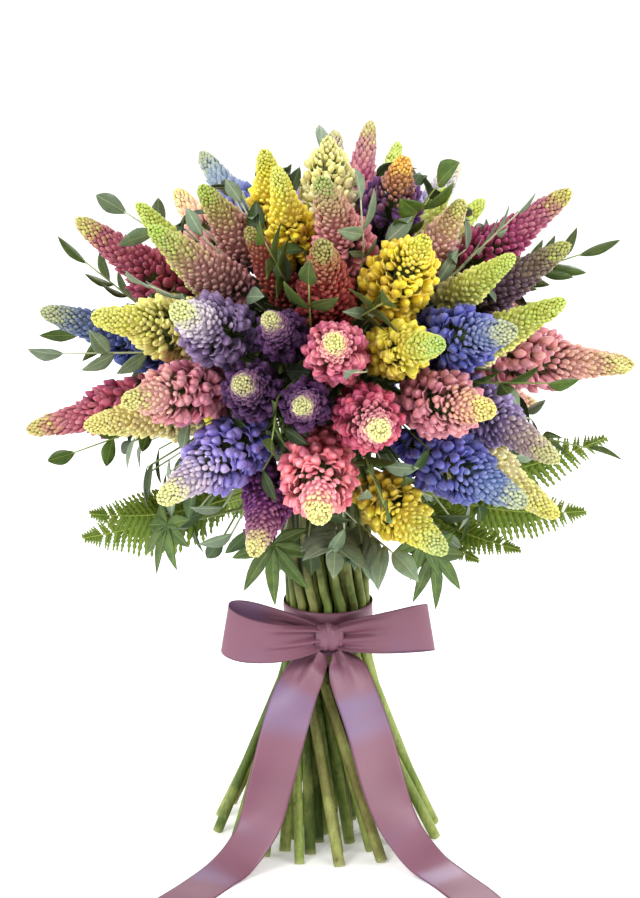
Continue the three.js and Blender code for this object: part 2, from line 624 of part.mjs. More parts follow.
// The tails' middle lines, from under the knot down to the surface and forward along it
const TAILS = {
  ribbon_tail_left: [[-6, -44, 162.1], [-10, -46, 156], [-18, -51, 148], [-27, -58, 130], [-35, -68, 103],
    [-46, -82, 61], [-56, -92, 31], [-74, -104, 7], [-92, -126, 0.6], [-109, -156, 0.6], [-134, -196, 0.6],
    [-161, -236, 0.6], [-190, -274, 0.6]],
  ribbon_tail_right: [[6, -44, 162.1], [10, -46, 156], [16, -51, 148], [25, -59, 125], [33, -68, 101],
    [45, -82, 59], [57, -91, 33], [76, -101, 9], [94, -118, 0.6], [110, -150, 0.6], [127, -194, 0.6],
    [146, -238, 0.6], [169, -283, 0.6]],
};

function tailSolid(points) {
  const middles = points.map(([x, y, z]) => V(x, y, z));
  return strip(middles.map((middle, i) => {
    const way = along(middles, i);
    const across = V(0, 0, 0).crossVectors(V(0, -0.35, 1), way);
    const lying = V(-way.y, way.x, 0);
    across.normalize().lerp(lying.normalize(), middle.z < 5 ? 1 : 0.15).normalize();
    if (across.x < 0) across.negate();
    return [middle, Math.min(RIBBON_WIDTH / 2, 5 + 4 * i), across];
  }));
}

// ---------------------------------------------------------------- the finished group
const bouquet = new THREE.Group();
bouquet.name = "lupin_bouquet";

function addPiece(name, body, color, roughness = 0.7, lift = HEAD) {
  const mesh = body.getMesh();
  const geometry = new THREE.BufferGeometry();
  geometry.setAttribute("position", new THREE.BufferAttribute(new Float32Array(mesh.vertProperties), 3));
  geometry.setIndex(new THREE.BufferAttribute(new Uint32Array(mesh.triVerts), 1));
  const piece = new THREE.Mesh(geometry, new THREE.MeshStandardMaterial({ color, roughness, metalness: 0 }));
  piece.name = name;
  piece.position.copy(lift);
  bouquet.add(piece);
}

for (const [name, color] of LUPINS) addPiece(`lupin_${name}`, lupinSolids.get(name), color);

for (const [name, body] of greenery) addPiece(name, body, name.startsWith("fern") ? 0x6d8f45 : 0x5f7a48);

const SATIN = 0xa87a8e;
const HERE = V(0, 0, 0);
addPiece("stems", stemsSolid(), 0x8a9a5c, 0.6, HERE);
addPiece("ribbon_band", bandSolid(), SATIN, 0.4, HERE);
addPiece("ribbon_bow", join([loopSolid(-1), loopSolid(1), knotSolid()]), SATIN, 0.4, HERE);
for (const [name, points] of Object.entries(TAILS)) addPiece(name, tailSolid(points), SATIN, 0.4, HERE);

// The origin is on the surface, under the middle of the whole outline.
const outline = new THREE.Box3().setFromObject(bouquet);
bouquet.position.set(-(outline.min.x + outline.max.x) / 2, -(outline.min.y + outline.max.y) / 2, 0);

export default bouquet;
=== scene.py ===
# A hand-tied bouquet of lupins on its spiralled stems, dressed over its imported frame.
# Metres in the scene, millimetres from the bouquet's own axis in the sections that model it.
import math

import bpy
import numpy as np
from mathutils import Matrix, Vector


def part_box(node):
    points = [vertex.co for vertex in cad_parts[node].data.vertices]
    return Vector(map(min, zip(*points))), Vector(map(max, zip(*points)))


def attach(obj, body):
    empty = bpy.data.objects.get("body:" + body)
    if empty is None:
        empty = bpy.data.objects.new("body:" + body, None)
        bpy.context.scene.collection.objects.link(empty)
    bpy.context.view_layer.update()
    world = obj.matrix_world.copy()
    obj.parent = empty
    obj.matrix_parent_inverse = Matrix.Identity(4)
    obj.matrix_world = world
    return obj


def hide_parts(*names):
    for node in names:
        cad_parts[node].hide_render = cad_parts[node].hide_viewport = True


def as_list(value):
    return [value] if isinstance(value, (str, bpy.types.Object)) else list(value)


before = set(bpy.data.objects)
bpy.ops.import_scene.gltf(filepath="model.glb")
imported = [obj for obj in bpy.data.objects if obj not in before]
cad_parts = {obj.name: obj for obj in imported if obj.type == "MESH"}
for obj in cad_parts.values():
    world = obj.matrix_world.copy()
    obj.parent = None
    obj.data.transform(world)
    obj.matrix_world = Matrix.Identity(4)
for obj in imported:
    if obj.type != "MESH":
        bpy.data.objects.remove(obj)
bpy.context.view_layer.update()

RANDOM = np.random.default_rng(20817)
MM = 0.001

# The bouquet's axis runs through the middle of the ribbon band.
BAND_LOW, BAND_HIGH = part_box("ribbon_band")
AXIS = np.array([(BAND_LOW[0] + BAND_HIGH[0]) / 2, (BAND_LOW[1] + BAND_HIGH[1]) / 2, 0.0])
TIE_LOW = BAND_LOW[2] / MM
TIE_HIGH = BAND_HIGH[2] / MM

# Driving sizes, the same as the solids'
HEAD = np.array([0.0, 0.0, 393.0])      # the middle of the head, from where the spikes radiate
HEART_REACH = 104.0                     # from there to the lowest florets of a level spike
HEART_DROP = 18.0                       # how much nearer the lowest florets of an upright spike sit
STEM_REACH = 70.0                       # where a bare stem ends and the foot of its spike begins
SEAM = 0.35                             # clearance between two pieces that touch
COLLAR_DROP = 105.0                     # how far below the middle the greenery leaves the stems
COLLAR_RADIUS = 58.0                    # how far out from the axis it leaves them
# The room that a spike keeps clear round its axis, as a share of its half girth along its length
PROFILE = [(0, 0.6), (0.12, 0.9), (0.3, 1), (0.5, 0.88), (0.7, 0.68), (0.85, 0.5), (1, 0.28)]
# Half girth of a dressed spike as a share of the widest, where its florets are open and where they are closed
OPEN_TAPER = [(0, 0.85), (0.12, 1.02), (0.3, 1.1), (0.5, 1.06), (0.65, 0.9), (0.8, 0.72), (1, 0.4)]
SLIM_TAPER = [(0, 0.66), (0.2, 0.84), (0.35, 0.82), (0.5, 0.72), (0.62, 0.6), (0.75, 0.47), (0.88, 0.33),
              (0.95, 0.25), (1, 0.18)]

# Petal colours from the open florets at a spike's foot to the buds at its tip
PETALS = {
    "deep_rose": ("ae4054", "a43c58", "b05c6c", "c2be6c"),
    "lime": ("d8c8a0", "d4d27c", "bfcc58", "b9c85a"),
    "blush": ("bd808c", "c8968c", "bcb26c", "a6ba50"),
    "peach": ("da8a9e", "e0a4a0", "e6c49a", "dfd288"),
    "slate_blue": ("4a4ca4", "6470b0", "8698a8", "a6ac8c"),
    "rust": ("a03a2c", "a8482f", "ac6044", "a09c50"),
    "bright_yellow": ("f2d400", "f0da1c", "e6da38", "cbcd58"),
    "cream": ("f3f0c8", "f3efc0", "eee9a6", "e0dd90"),
    "orchid": ("cc5a7c", "b9587e", "bc8488", "c2ba78"),
    "pink_green": ("de8298", "dd9494", "c8aa80", "a3b060"),
    "brick": ("a82c22", "a83a2a", "a4603e", "9c9850"),
    "violet_gold": ("5c2e78", "6c3c7c", "c08a5c", "e8b83c"),
    "grey_lavender": ("5f58b0", "a094bc", "beb6b8", "d0caaa"),
    "pink_gold": ("cc8698", "dca6a6", "dabe94", "ccca76"),
    "vivid_yellow": ("f8d800", "f8de10", "f2e024", "d2d244"),
    "pale_lemon": ("e4e294", "dfde80", "d6d872", "cacf6a"),
    "magenta": ("b63452", "aa3a70", "b4627e", "c0ba62"),
    "dusk": ("5e3c58", "70546c", "887668", "acb05c"),
    "lime_cream": ("ece6b0", "d8da70", "c2ce54", "bac858"),
    "violet_blue": ("4a46a0", "5c62b8", "7886b8", "b2b890"),
    "shell_pink": ("de8aa0", "e098a4", "dcaa96", "cfc67c"),
    "yellow_green": ("eed414", "e2d634", "c8ce4e", "aac460"),
    "rose_pink": ("d44e70", "dc6e8c", "e4a09c", "e0e28c"),
    "crimson": ("b02e52", "c44a70", "d08894", "e0de94"),
    "dusty_pink": ("c8748a", "d48c9a", "d6a28a", "dacf74"),
    "lilac": ("8872b8", "a28fbe", "bca8a4", "c2c086"),
    "blue_violet": ("5852b6", "6e70c6", "7488bc", "b8c29a"),
    "ivory": ("f3ecb8", "f2e9ae", "e9e38c", "dfda74"),
    "gold_green": ("eccc10", "e8d62c", "d2d250", "bac87a"),
    "salmon": ("e0687e", "e87c8c", "ea98a2", "e4e48e"),
    "purple": ("602666", "80387e", "a06484", "d2cc84"),
    "lilac_cream": ("6a64c8", "8e84d0", "c2b4c6", "d2d28e"),
    "butter": ("f0e8ae", "eae098", "e2da88", "dcd57c"),
    "dark_rose": ("a83c58", "b64c68", "be6a76", "c8c070"),
    "antique_pink": ("d48096", "dc8c9e", "d4a092", "c8c276"),
    "lemon": ("f4f0c0", "ebe686", "e2e066", "d3d368"),
    "dark_blue": ("383c98", "4a56a2", "6878a0", "a8ae84"),
    "grey_mauve": ("6e5684", "8c749c", "d2c8d0", "cace88"),
    "plum": ("44244e", "5e3468", "80587a", "bebc80"),
}

# How far up its open florets reach on each lupin, as a share of a spike in full flower
IN_FLOWER = {
    "rose_a": 0.85, "lime_a": 0.2, "blush": 0.35, "peach": 0.9, "rust_a": 0.1, "yellow_a": 0.85,
    "cream_a": 1.4, "rose_b": 0.8, "pink_a": 0.6, "rust_b": 0.4, "lavender": 0.75, "pink_b": 0.3,
    "yellow_c": 1.2, "lemon_a": 0.7, "magenta": 0.75, "dusk": 0.6, "lime_b": 0.4, "yellow_d": 0.8,
    "lilac_a": 0.8, "blue_c": 1.05, "cream_b": 0.9, "yellow_e": 0.85, "salmon": 1.1, "purple_a": 0.6,
    "cream_c": 0.5, "dusty_b": 1.05, "lemon_b": 0.95, "blue_d": 0.85, "mauve": 0.8, "plum": 0.8,
    "back_cream": 1.2, "back_lime": 0.4,
}

# Each lupin stem: its name, its petal colours, its record slot, then its spikes as
# (tip heading, tip rise, tip reach, base heading, base rise, girth), as in the solids
LUPINS = [
    ("rose_a", "deep_rose", "rose", [(-79, 30, 228, -88, 18, 46)]),
    ("lime_a", "lime", "lime", [(-48, 37, 226, -58, 34, 34)]),
    ("blush", "blush", "dusty_pink", [(-36, 29, 240, -38, 30, 42), (-38, 43, 206, -44, 44, 40)]),
    ("peach", "peach", "peach", [(-122, 42, 186, -112, 44, 42), (-96, 52, 164, -92, 54, 36)]),
    ("blue_a", "slate_blue", "blue", [(-142, 40, 229, -118, 56, 44)]),
    ("rust_a", "rust", "rust", [(-24, 41, 190, -26, 47, 34)]),
    ("yellow_a", "bright_yellow", "yellow", [(-22, 57, 196, -40, 62, 38), (-12, 48, 214, -18, 56, 38)]),
    ("cream_a", "cream", "cream", [(-2, 62, 200, -5, 72, 46)]),
    ("rose_b", "orchid", "rose", [(120, 78, 188, 100, 80, 36)]),
    ("pink_a", "pink_green", "pink", [(-6, 42, 224, 12, 50, 46)]),
    ("rust_b", "brick", "rust", [(-1, 32, 228, 0, 29, 50)]),
    ("violet", "violet_gold", "violet", [(24, 52, 205, 30, 56, 46)]),
    ("lavender", "grey_lavender", "lilac", [(143, 38, 228, 118, 52, 42)]),
    ("pink_b", "pink_gold", "pink", [(40, 43, 200, 52, 38, 40)]),
    ("yellow_c", "vivid_yellow", "yellow", [(20, 31, 229, 26, 28, 52)]),
    ("lemon_a", "pale_lemon", "lemon", [(125, 22, 225, 108, 32, 34)]),
    ("magenta", "magenta", "magenta", [(74, 35, 233, 86, 26, 44)]),
    ("dusk", "dusk", "plum", [(60, 27, 228, 80, 22, 42)]),
    ("lime_b", "lime_cream", "lime", [(38, 25, 228, 48, 25, 34), (47, 18, 236, 64, 15, 40)]),
    ("blue_b", "violet_blue", "blue", [(32, 12, 238, 36, 18, 50)]),
    ("pink_c", "shell_pink", "pink", [(71, 2, 246, 84, 2, 50)]),
    ("yellow_d", "yellow_green", "yellow", [(19, 12, 243, 13, 10, 42)]),
    ("rosette", "rose_pink", "pink", [(-1, 13, 230, -1, 12, 46)]),
    ("crimson_a", "crimson", "crimson", [(8, -1, 245, 10, -2, 48)]),
    ("dusty_a", "dusty_pink", "dusty_pink", [(28, 3, 243, 30, -3, 50)]),
    ("lilac_a", "lilac", "lilac", [(46, -12, 238, 66, -12, 44)]),
    ("blue_c", "blue_violet", "blue", [(37, -18, 240, 26, -26, 52)]),
    ("cream_b", "ivory", "cream", [(54, -24, 234, 66, -24, 46)]),
    ("yellow_e", "gold_green", "yellow", [(25, -25, 232, 30, -38, 46)]),
    ("salmon", "salmon", "salmon", [(-2, -17, 240, -8, -22, 56)]),
    ("purple_a", "purple", "plum", [(-15, -27, 230, -26, -40, 44)]),
    ("lilac_b", "lilac_cream", "lilac", [(-32, -16, 240, -30, -14, 50)]),
    ("cream_c", "butter", "lemon", [(-46, -4, 240, -62, -14, 44)]),
    ("crimson_b", "dark_rose", "crimson", [(-80, -12, 245, -84, -14, 46)]),
    ("dusty_b", "antique_pink", "dusty_pink", [(-36, 2, 243, -39, 1, 48)]),
    ("lemon_b", "lemon", "lemon", [(-46, 14, 240, -52, 12, 48)]),
    ("blue_d", "dark_blue", "navy", [(-66, 13, 241, -76, 6, 46)]),
    ("mauve", "grey_mauve", "mauve", [(-27, 18, 238, -31, 17, 52)]),
    ("plum", "plum", "plum",
     [(-10, 17, 226, -16, 15, 38), (-14, 7, 216, -22, 3, 44), (-5, 5, 228, -8, 2, 38)]),
    ("back_pink", "shell_pink", "pink",
     [(126, 4, 228, 122, 4, 46), (104, 10, 184, 104, 8, 40), (106, -16, 186, 106, -14, 40)]),
    ("back_blue", "violet_blue", "blue",
     [(152, 6, 240, 152, 4, 46), (136, -18, 226, 138, -18, 46), (166, -20, 232, 166, -18, 46),
      (163, 26, 215, 160, 28, 44)]),
    ("back_rose", "orchid", "rose",
     [(178, 6, 242, 178, 6, 46), (-158, 6, 240, -158, 6, 46), (-168, -20, 232, -168, -18, 46)]),
    ("back_yellow", "bright_yellow", "yellow",
     [(-134, -4, 236, -134, -4, 46), (-144, -28, 222, -146, -26, 42), (-120, -22, 190, -120, -20, 36)]),
    ("back_cream", "cream", "cream",
     [(-108, 4, 186, -106, 4, 40), (-138, 20, 228, -122, 24, 34), (-112, 24, 188, -106, 26, 36)]),
    ("back_violet", "lilac", "violet",
     [(-166, 30, 230, -166, 30, 46), (176, 60, 196, 176, 62, 42), (-136, 60, 160, -132, 62, 38)]),
    ("back_lime", "lime", "lime",
     [(116, 40, 180, 112, 42, 34), (96, 54, 164, 92, 56, 34), (155, 46, 212, 120, 60, 32)]),
]


# ------------------------------------------------------------------ plain helpers
def direction(heading, rise):
    h, r = math.radians(heading), math.radians(rise)
    return np.array([math.sin(h) * math.cos(r), -math.cos(h) * math.cos(r), math.sin(r)])


def share(table, s):
    return np.interp(s, [row[0] for row in table], [row[1] for row in table])


def unit(v):
    return v / (np.linalg.norm(v, axis=-1, keepdims=True) + 1e-12)


def to_frame(points):
    return np.asarray(points, float) * MM + AXIS


def linear(hex_colour):
    parts = [int(hex_colour[i:i + 2], 16) / 255 for i in (0, 2, 4)]
    return tuple(c / 12.92 if c < 0.04045 else ((c + 0.055) / 1.055) ** 2.4 for c in parts) + (1.0,)


def deselect():
    if bpy.context.mode != "OBJECT":
        bpy.ops.object.mode_set(mode="OBJECT")
    bpy.ops.object.select_all(action="DESELECT")


# ------------------------------------------------------------------ where each spike stands
SAMPLES = 9                   # places along a spike where its room is compared with its neighbours'
ROUNDS = 160
ELBOW_ROOM = 1.5              # air kept between two spikes
NEIGHBOUR_REACH = 70          # places that start farther apart than this, past their own sizes, never meet
PUSH = 0.1                    # share of an overlap that one round takes up
SETTLED = 0.2                 # an overlap this small is left


def settled_spikes():
    """Each spike's lupin, foot, tip and girth, after the spikes have pushed one another apart."""
    rows = [(name, *spike) for name, _, _, spikes in LUPINS for spike in spikes]
    girth = np.array([row[6] for row in rows], float)
    tip = np.array([direction(row[1], row[2]) * row[3] for row in rows])
    sink = [HEART_DROP * max(0, math.sin(math.radians(row[5]))) for row in rows]
    base = np.array([direction(row[4], row[5]) * (HEART_REACH - drop) for row, drop in zip(rows, sink)])
    steps = np.linspace(0, 1, SAMPLES)
    own = np.repeat(np.arange(len(rows)), SAMPLES)
    along = np.tile(steps, len(rows))
    size = (girth[:, None] / 2 * share(PROFILE, steps)).ravel()
    at = base[own] + (tip - base)[own] * along[:, None]
    p, q = np.triu_indices(len(own), 1)
    close = np.linalg.norm(at[p] - at[q], axis=1) < size[p] + size[q] + NEIGHBOUR_REACH
    close &= own[p] != own[q]
    p, q = p[close], q[close]
    for _ in range(ROUNDS):
        at = base[own] + (tip - base)[own] * along[:, None]
        apart = at[p] - at[q]
        distance = np.linalg.norm(apart, axis=1)
        over = size[p] + size[q] + ELBOW_ROOM - distance
        hit = over > 0
        push = apart[hit] * (over[hit] / distance[hit])[:, None]
        for rows_hit, part, sign in ((p[hit], along[p[hit]], 1), (q[hit], along[q[hit]], -1)):
            for target, weight in ((base, 1 - part), (tip, part)):
                move = np.zeros_like(target)
                np.add.at(move, own[rows_hit], sign * push * weight[:, None])
                target += PUSH * move
        if not hit.any() or over.max() < SETTLED:
            break
    return [row[0] for row in rows], base, tip, girth


SPIKE_STEM, SPIKE_BASE, SPIKE_TIP, SPIKE_GIRTH = settled_spikes()
ROOM_STEPS = np.linspace(0, 1, 25)
ROOM_POINTS = SPIKE_BASE[:, None] + (SPIKE_TIP - SPIKE_BASE)[:, None] * ROOM_STEPS[None, :, None]
ROOM_POINTS = ROOM_POINTS.reshape(-1, 3)
ROOM_SIZES = (SPIKE_GIRTH[:, None] / 2 * share(PROFILE, ROOM_STEPS)[None]).ravel()


def nearest_spike(point):
    """How far a point is from the room of the nearest spike, and the way out from that spike."""
    out = point - ROOM_POINTS
    distance = np.linalg.norm(out, axis=1)
    best = np.argmin(distance - ROOM_SIZES)
    return distance[best] - ROOM_SIZES[best], out[best] / (distance[best] + 1e-9)


def spikes_of(lupin):
    return [i for i, owner in enumerate(SPIKE_STEM) if owner == lupin]


def stem_way(lupin):
    """The direction in which a lupin's own stem leaves the middle of the head."""
    return unit(SPIKE_BASE[spikes_of(lupin)].sum(axis=0))


# ------------------------------------------------------------------ shapes modelled once and copied
def edit(obj, chosen):
    """Enters edit mode with only the vertices for which chosen(co) holds selected."""
    deselect()
    obj.select_set(True)
    bpy.context.view_layer.objects.active = obj
    bpy.ops.object.mode_set(mode="EDIT")
    bpy.ops.mesh.select_all(action="DESELECT")
    bpy.ops.object.mode_set(mode="OBJECT")
    for v in obj.data.vertices:
        v.select = bool(chosen(v.co))
    bpy.ops.object.mode_set(mode="EDIT")


def resize(obj, chosen, value, centre=(0, 0, 0)):
    edit(obj, chosen)
    bpy.ops.transform.resize(value=value, center_override=centre)
    bpy.ops.object.mode_set(mode="OBJECT")


def shift(obj, chosen, value):
    edit(obj, chosen)
    bpy.ops.transform.translate(value=value)
    bpy.ops.object.mode_set(mode="OBJECT")


def solidified(obj, thickness):
    deselect()
    bpy.context.view_layer.objects.active = obj
    wall = obj.modifiers.new("wall", "SOLIDIFY")
    wall.thickness = thickness
    wall.offset = 0
    bpy.ops.object.modifier_apply(modifier=wall.name)


class Model:
    """A shape's points, face corners and face sizes, taken from a modelled object, which is then removed.
    Its part says how far out on the shape each point lies, and its flag marks the green of a stalk."""

    def __init__(self, obj, part=None):
        mesh = obj.data
        self.points = np.array([v.co for v in mesh.vertices])
        self.corners = np.concatenate([np.array(f.vertices) for f in mesh.polygons])
        self.sizes = np.array([len(f.vertices) for f in mesh.polygons])
        self.part = self.points[:, 2].copy() if part is None else part(self.points)
        self.flag = np.zeros(len(self.points))
        bpy.data.objects.remove(obj)

    def joined(self, other):
        self.corners = np.concatenate([self.corners, other.corners + len(self.points)])
        self.points = np.concatenate([self.points, other.points])
        self.sizes = np.concatenate([self.sizes, other.sizes])
        self.part = np.concatenate([self.part, other.part])
        self.flag = np.concatenate([self.flag, other.flag])
        return self


class Heap:
    """Copies of models gathered into one mesh, with an attribute for its colours:
    how far along the piece, how far out on the part, a tone drawn for each copy, and a flag."""

    def __init__(self):
        self.points, self.corners, self.sizes, self.tones = [], [], [], []
        self.count = 0

    def add(self, model, turns, places, along, tones):
        turns, places = np.asarray(turns, float), np.asarray(places, float)
        n, k = len(model.points), len(places)
        points = np.einsum("kij,nj->kni", turns, model.points) + places[:, None]
        self.points.append(points.reshape(-1, 3))
        self.corners.append((model.corners[None] + (np.arange(k) * n)[:, None] + self.count).ravel())
        self.sizes.append(np.tile(model.sizes, k))
        tone = np.empty((k, n, 4))
        tone[:, :, 0] = np.asarray(along)[:, None]
        tone[:, :, 1] = model.part[None]
        tone[:, :, 2] = np.asarray(tones)[:, None]
        tone[:, :, 3] = model.flag[None]
        self.tones.append(tone.reshape(-1, 4))
        self.count += k * n

    def piece(self, name, material, slot, *nodes):
        mesh = bpy.data.meshes.new(name)
        points = to_frame(np.concatenate(self.points))
        corners = np.concatenate(self.corners)
        sizes = np.concatenate(self.sizes)
        mesh.vertices.add(len(points))
        mesh.vertices.foreach_set("co", points.astype(np.float32).ravel())
        mesh.loops.add(len(corners))
        mesh.loops.foreach_set("vertex_index", corners.astype(np.int32))
        mesh.polygons.add(len(sizes))
        mesh.polygons.foreach_set("loop_start", (np.cumsum(sizes) - sizes).astype(np.int32))
        mesh.update(calc_edges=True)
        tone = mesh.attributes.new("tone", "FLOAT_COLOR", "POINT")
        tone.data.foreach_set("color", np.concatenate(self.tones).astype(np.float32).ravel())
        mesh.shade_smooth()
        obj = bpy.data.objects.new(name, mesh)
        bpy.context.scene.collection.objects.link(obj)
        dress(obj, material, slot, *nodes)


def dress(obj, material, slot, *nodes):
    obj.data.materials.clear()
    obj.data.materials.append(material)
    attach(obj, "root")
    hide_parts(*nodes)


# ------------------------------------------------------------------ bending a model along a route
def carried_frames(route, first):
    """Directions along a row of points, and two across them that turn with it and never twist."""
    ways = unit(np.gradient(route, axis=0))
    side = np.array(first, float)
    sides = []
    for way in ways:
        side = unit(side - way * (side @ way))
        sides.append(side)
    sides = np.array(sides)
    return sides, np.cross(sides, ways), ways


def facing_frames(route, facing):
    """The same, with the second direction across kept toward a face."""
    ways = unit(np.gradient(route, axis=0))
    sides = unit(np.cross(ways, facing))
    return sides, np.cross(sides, ways), ways


def bent(model, route, width, frames, thickness=None):
    """The model's z from 0 to 1 runs along the route, its x and y across it times the width there."""
    route = np.asarray(route, float)
    thickness = width if thickness is None else thickness
    at = np.clip(model.points[:, 2], 0, 1) * (len(route) - 1)
    low = np.minimum(at.astype(int), len(route) - 2)
    part = (at - low)[:, None]

    def here(rows):
        rows = np.asarray(rows, float)
        return rows[low] + (rows[low + 1] - rows[low]) * part

    sides, ups, _ = frames
    wide = here(np.broadcast_to(np.asarray(width, float), len(route))[:, None])
    thick = here(np.broadcast_to(np.asarray(thickness, float), len(route))[:, None])
    return here(route) + here(sides) * model.points[:, :1] * wide + here(ups) * model.points[:, 1:2] * thick


def lay(heap, model, points, along, tone, flag=None):
    """Adds one bent copy of a model to a heap."""
    heap.points.append(points)
    heap.corners.append(model.corners + heap.count)
    heap.sizes.append(model.sizes)
    tones = np.empty((len(points), 4))
    tones[:, 0] = along
    tones[:, 1] = model.part
    tones[:, 2] = tone
    tones[:, 3] = model.flag if flag is None else flag
    heap.tones.append(tones)
    heap.count += len(points)


def bezier(points, count):
    t = np.linspace(0, 1, count)[:, None]
    p = [np.asarray(q, float) for q in points]
    while len(p) > 1:
        p = [a + (b - a) * t for a, b in zip(p, p[1:])]
    return p[0]


def smooth_row(points, count):
    """A round line through a row of points."""
    points = np.asarray(points, float)
    ends = np.concatenate([[2 * points[0] - points[1]], points, [2 * points[-1] - points[-2]]])
    at = np.linspace(0, len(points) - 1, count)
    i = np.minimum(at.astype(int), len(points) - 2)
    t = (at - i)[:, None]
    a, b, c, d = (ends[i + k] for k in range(4))
    return 0.5 * (2 * b + (c - a) * t + (2 * a - 5 * b + 4 * c - d) * t ** 2
                  + (3 * b - a - 3 * c + d) * t ** 3)


# ------------------------------------------------------------------ the models
def rod_model(sides, rings):
    """A rod of radius 1 from z = 0 to 1, drawn up ring by ring from a disc."""
    deselect()
    bpy.ops.mesh.primitive_circle_add(vertices=sides, radius=1, fill_type="NGON")
    rod = bpy.context.object
    bpy.ops.object.mode_set(mode="EDIT")
    bpy.ops.mesh.select_all(action="SELECT")
    for _ in range(rings):
        bpy.ops.mesh.extrude_region_move(TRANSFORM_OT_translate={"value": (0, 0, 1 / rings)})
    bpy.ops.mesh.select_all(action="SELECT")
    bpy.ops.mesh.normals_make_consistent(inside=False)
    bpy.ops.object.mode_set(mode="OBJECT")
    return Model(rod, lambda p: np.arctan2(p[:, 1], p[:, 0]) / math.pi)


def ball(segments, rings, size, centre):
    deselect()
    bpy.ops.mesh.primitive_uv_sphere_add(segments=segments, ring_count=rings, radius=1, location=centre,
                                         scale=size)
    bpy.ops.object.transform_apply(location=True, rotation=True, scale=True)
    return bpy.context.object


def wings_model():
    """The two closed wings of an open floret, in mm, drawn out along +Z with the keel's tip turned up."""
    wings = ball(8, 5, (3.1, 2.8, 5.9), (0, 0, 7.2))
    resize(wings, lambda co: co.z < 5.0, (0.5, 0.55, 1), (0, 0, 3))
    resize(wings, lambda co: co.z > 10.0, (0.8, 0.8, 1), (0, 0.3, 10))
    shift(wings, lambda co: co.z > 10.0, (0, 1.2, -0.3))
    shift(wings, lambda co: abs(co.x) < 0.8 and co.y < -1.0, (0, -1.2, 0))
    return Model(wings, lambda p: np.clip(p[:, 2] / 13, 0, 1) * 0.8)


def banner_model():
    """The banner of an open floret, folded back along its middle and behind the wings."""
    banner = ball(6, 4, (4.5, 0.7, 5.0), (0, 2.6, 7.0))
    shift(banner, lambda co: abs(co.x) > 2.4, (0, 1.2, -0.4))
    shift(banner, lambda co: co.z > 8.8, (0, 2.0, -0.2))
    resize(banner, lambda co: co.z < 4.6, (0.45, 0.8, 1), (0, 1.2, 4))
    return Model(banner, lambda p: 0.5 + np.clip((p[:, 2] - 4) / 8, 0, 1) * 0.5)


def calyx_model():
    """The thin stalk of an open floret, widening into its green cup."""
    deselect()
    bpy.ops.mesh.primitive_circle_add(vertices=4, radius=0.55, fill_type="NGON", location=(0, 0, -6))
    bpy.ops.object.transform_apply(location=True)
    calyx = bpy.context.object
    bpy.ops.object.mode_set(mode="EDIT")
    bpy.ops.mesh.select_all(action="SELECT")
    for rise, widen in ((6.8, 1.2), (3.4, 3.0)):
        bpy.ops.mesh.extrude_region_move(TRANSFORM_OT_translate={"value": (0, 0, rise)})
        bpy.ops.transform.resize(value=(widen, widen, 1))
    bpy.ops.object.mode_set(mode="OBJECT")
    model = Model(calyx, lambda p: np.full(len(p), 0.4))
    model.flag[:] = 1
    return model


def closed_model():
    """A floret half way up a spike: a long scale that lies toward the tip."""
    scale = ball(5, 4, (2.05, 1.6, 4.8), (0, 0, 4.6))
    shift(scale, lambda co: co.z > 7, (0, 0.5, 0))
    resize(scale, lambda co: co.z < 3, (0.6, 0.65, 1), (0, 0, 2))
    return Model(scale, lambda p: np.clip(p[:, 2] / 9.2, 0, 1))


def bud_model():
    """A bud at the tip of a spike, 1 mm in radius before it is sized."""
    deselect()
    bpy.ops.mesh.primitive_ico_sphere_add(subdivisions=1, radius=1, location=(0, 0, 1.2),
                                          scale=(1, 0.85, 1.6))
    bpy.ops.object.transform_apply(location=True, scale=True)
    bud = bpy.context.object
    shift(bud, lambda co: co.z > 1.9, (0, 0.25, 0))
    return Model(bud, lambda p: 0.25 + np.clip(p[:, 2] / 2.5, 0, 1) * 0.5)


BLADE_WALL = 0.05             # thickness of a leaf, as a share of its length or half width


def leaf_model(outline, rows=9, columns=4, fold=0.22, ripple=0.05):
    """A leaf blade from z = 0 to 1 and x = -1 to 1, its rows drawn in to the outline, folded up from
    its midrib, and given a thin wall."""
    deselect()
    bpy.ops.mesh.primitive_grid_add(x_subdivisions=columns, y_subdivisions=rows, size=2,
                                    rotation=(math.pi / 2, 0, 0))
    blade = bpy.context.object
    bpy.ops.object.transform_apply(rotation=True)
    resize(blade, lambda co: True, (1, 1, 0.5))
    shift(blade, lambda co: True, (0, 0, 0.5))
    for row in range(rows + 1):
        z = row / rows
        narrow = max(0.03, float(share(outline, z)))
        lift = ripple * math.sin(9 * z)

        def outside(part, z=z, narrow=narrow):
            return lambda co: abs(co.z - z) < 0.01 and abs(co.x) > part * narrow

        resize(blade, outside(-1), (narrow, 1, 1), (0, 0, z))
        shift(blade, outside(0.3), (0, fold * narrow + lift, 0))
        shift(blade, outside(0.8), (0, 0.6 * fold * narrow - lift, 0))
    solidified(blade, BLADE_WALL)
    return Model(blade, lambda p: p[:, 0])


# Outlines of leaves: half width along the blade as a share of the widest
OLIVE = [(0, 0.12), (0.1, 0.42), (0.25, 0.8), (0.42, 1), (0.6, 0.92), (0.78, 0.62), (0.9, 0.3), (1, 0.03)]
LANCE = [(0, 0.1), (0.12, 0.5), (0.3, 0.88), (0.45, 1), (0.65, 0.8), (0.85, 0.4), (1, 0.02)]


def pinna_model():
    """One leaflet of a fern frond, its edges cut into teeth."""
    teeth, notch = 5, 0.62
    outline = []
    for tooth in range(teeth):
        z = tooth / teeth
        full = 1 - 0.85 * z ** 1.3
        outline += [(z, notch * full), (z + notch / teeth, full)]
    outline.append((1, 0.03))
    return leaf_model(outline, rows=2 * teeth, columns=2, fold=0.12, ripple=0)


